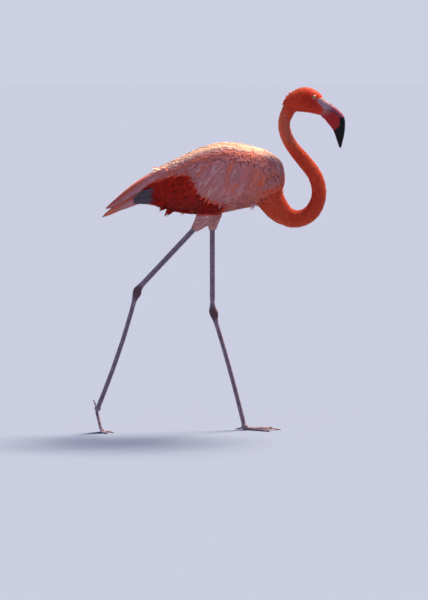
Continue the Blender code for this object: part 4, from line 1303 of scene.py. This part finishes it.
def make_eyes():
    """Each eye is a ball with its cornea raised, looking out to the side."""
    material = eye_material()
    rings, around = EYE_RINGS, EYE_POINTS
    fall = np.linspace(0.02, math.pi - 0.02, rings)[:, None]
    turn = np.linspace(0, 2 * math.pi, around, endpoint=False)
    reach, outward = np.sin(fall) * np.ones(around), np.cos(fall) * np.ones(around)
    iris = np.where(outward > 0, reach * EYE_RADIUS / LID_OPENING, 1.0)
    cornea = 1 + 0.04 * hump(fall, 0.0, 0.6)
    cap = np.array([(k, k + 1, around - k - 2, (around - k - 1) % around) for k in range(around // 2 - 1)])
    walls = tube(rings, around)[:, [0, 3, 2, 1]]
    ball = np.concatenate([walls, cap, cap[:, ::-1] + (rings - 1) * around])
    for side in SIDES:
        points = np.stack([reach * np.sin(turn), outward * SIGN[side], reach * np.cos(turn)], -1)
        points = (EYE[side] + points * cornea[..., None] * EYE_RADIUS).reshape(-1, 3)
        quads = ball[:, ::-1] if side == "right" else ball
        make_piece(f"eyeball_{side}", "eye", [f"eye_{side}"], points, quads, {"ring": iris}, material)


def make_claws():
    """The claws, rounded from their solids, in dark horn."""
    material = claw_material()
    for name in [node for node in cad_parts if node.startswith("claw")]:
        surface = fused([name], CLAW_SWELL, CLAW_VOXEL, 2)
        make_piece(f"{name}_horn", "claw_horn", [name], surface.points, surface.quads, {}, material)


# ---------------- floor, light and camera


def make_floor():
    """A plain pale floor that reaches past every view."""
    corners = [(x * FLOOR_REACH, y * FLOOR_REACH, 0.0) for x, y in ((-1, -1), (1, -1), (1, 1), (-1, 1))]
    make_mesh("floor", np.array(corners), np.array([(0, 1, 2, 3)]), {}, floor_material())


def make_light():
    """One broad warm lamp above, ahead and on the bird's left, in a pale studio, darker overhead."""
    data = bpy.data.lights.new("key", "SUN")
    data.energy, data.angle, data.color = KEY_STRENGTH, KEY_ANGLE, linear(KEY_COLOUR)[:3]
    show("key", data).rotation_euler = (-Vector(KEY_PLACE)).to_track_quat("-Z", "Y").to_euler()
    world = bpy.data.worlds.new("studio")
    world.use_nodes = True
    tree = world.node_tree
    way = add_node(tree, "TexCoord", {}, "Generated")
    height = add_node(tree, "SeparateXYZ", {0: way}, "Z")
    colour = add_node(tree, "ValToRGB", {"stops": {0.06: HORIZON, 0.35: OVERHEAD}, "Fac": height})
    set_up(tree.nodes["Background"], {"Color": colour})
    bpy.context.scene.world = world


def make_camera():
    """A long lens at the bird's right side, a little above it, framed upright."""
    data = bpy.data.cameras.new("camera")
    data.lens = LENS
    camera = show("camera", data)
    away = Vector((0, -CAMERA_DISTANCE * math.cos(CAMERA_RISE), CAMERA_DISTANCE * math.sin(CAMERA_RISE)))
    camera.location = Vector((BREAST - AIM_BEHIND_BREAST, 0.0, AIM_HEIGHT)) + away
    camera.rotation_euler = (math.pi / 2 - CAMERA_RISE, 0, 0)
    bpy.context.scene.camera = camera


def main():
    scarlet = plumage_material("scarlet_contour_feather", 1.4 * MM, 0.36, "ffb080")
    pink = plumage_material("pink_contour_feather", 1.8 * MM, 0.12, "ffcfae")
    make_skin()
    make_coats(scarlet, pink)
    black = flight_material()
    for side in SIDES:
        make_primaries(side, black)
        make_tertials(side, pink)
    make_tail(pink)
    make_tufts(pink)
    make_bill()
    make_eyes()
    make_claws()
    make_floor()
    make_light()
    make_camera()
    bpy.context.scene.view_settings.view_transform = "Standard"


main()
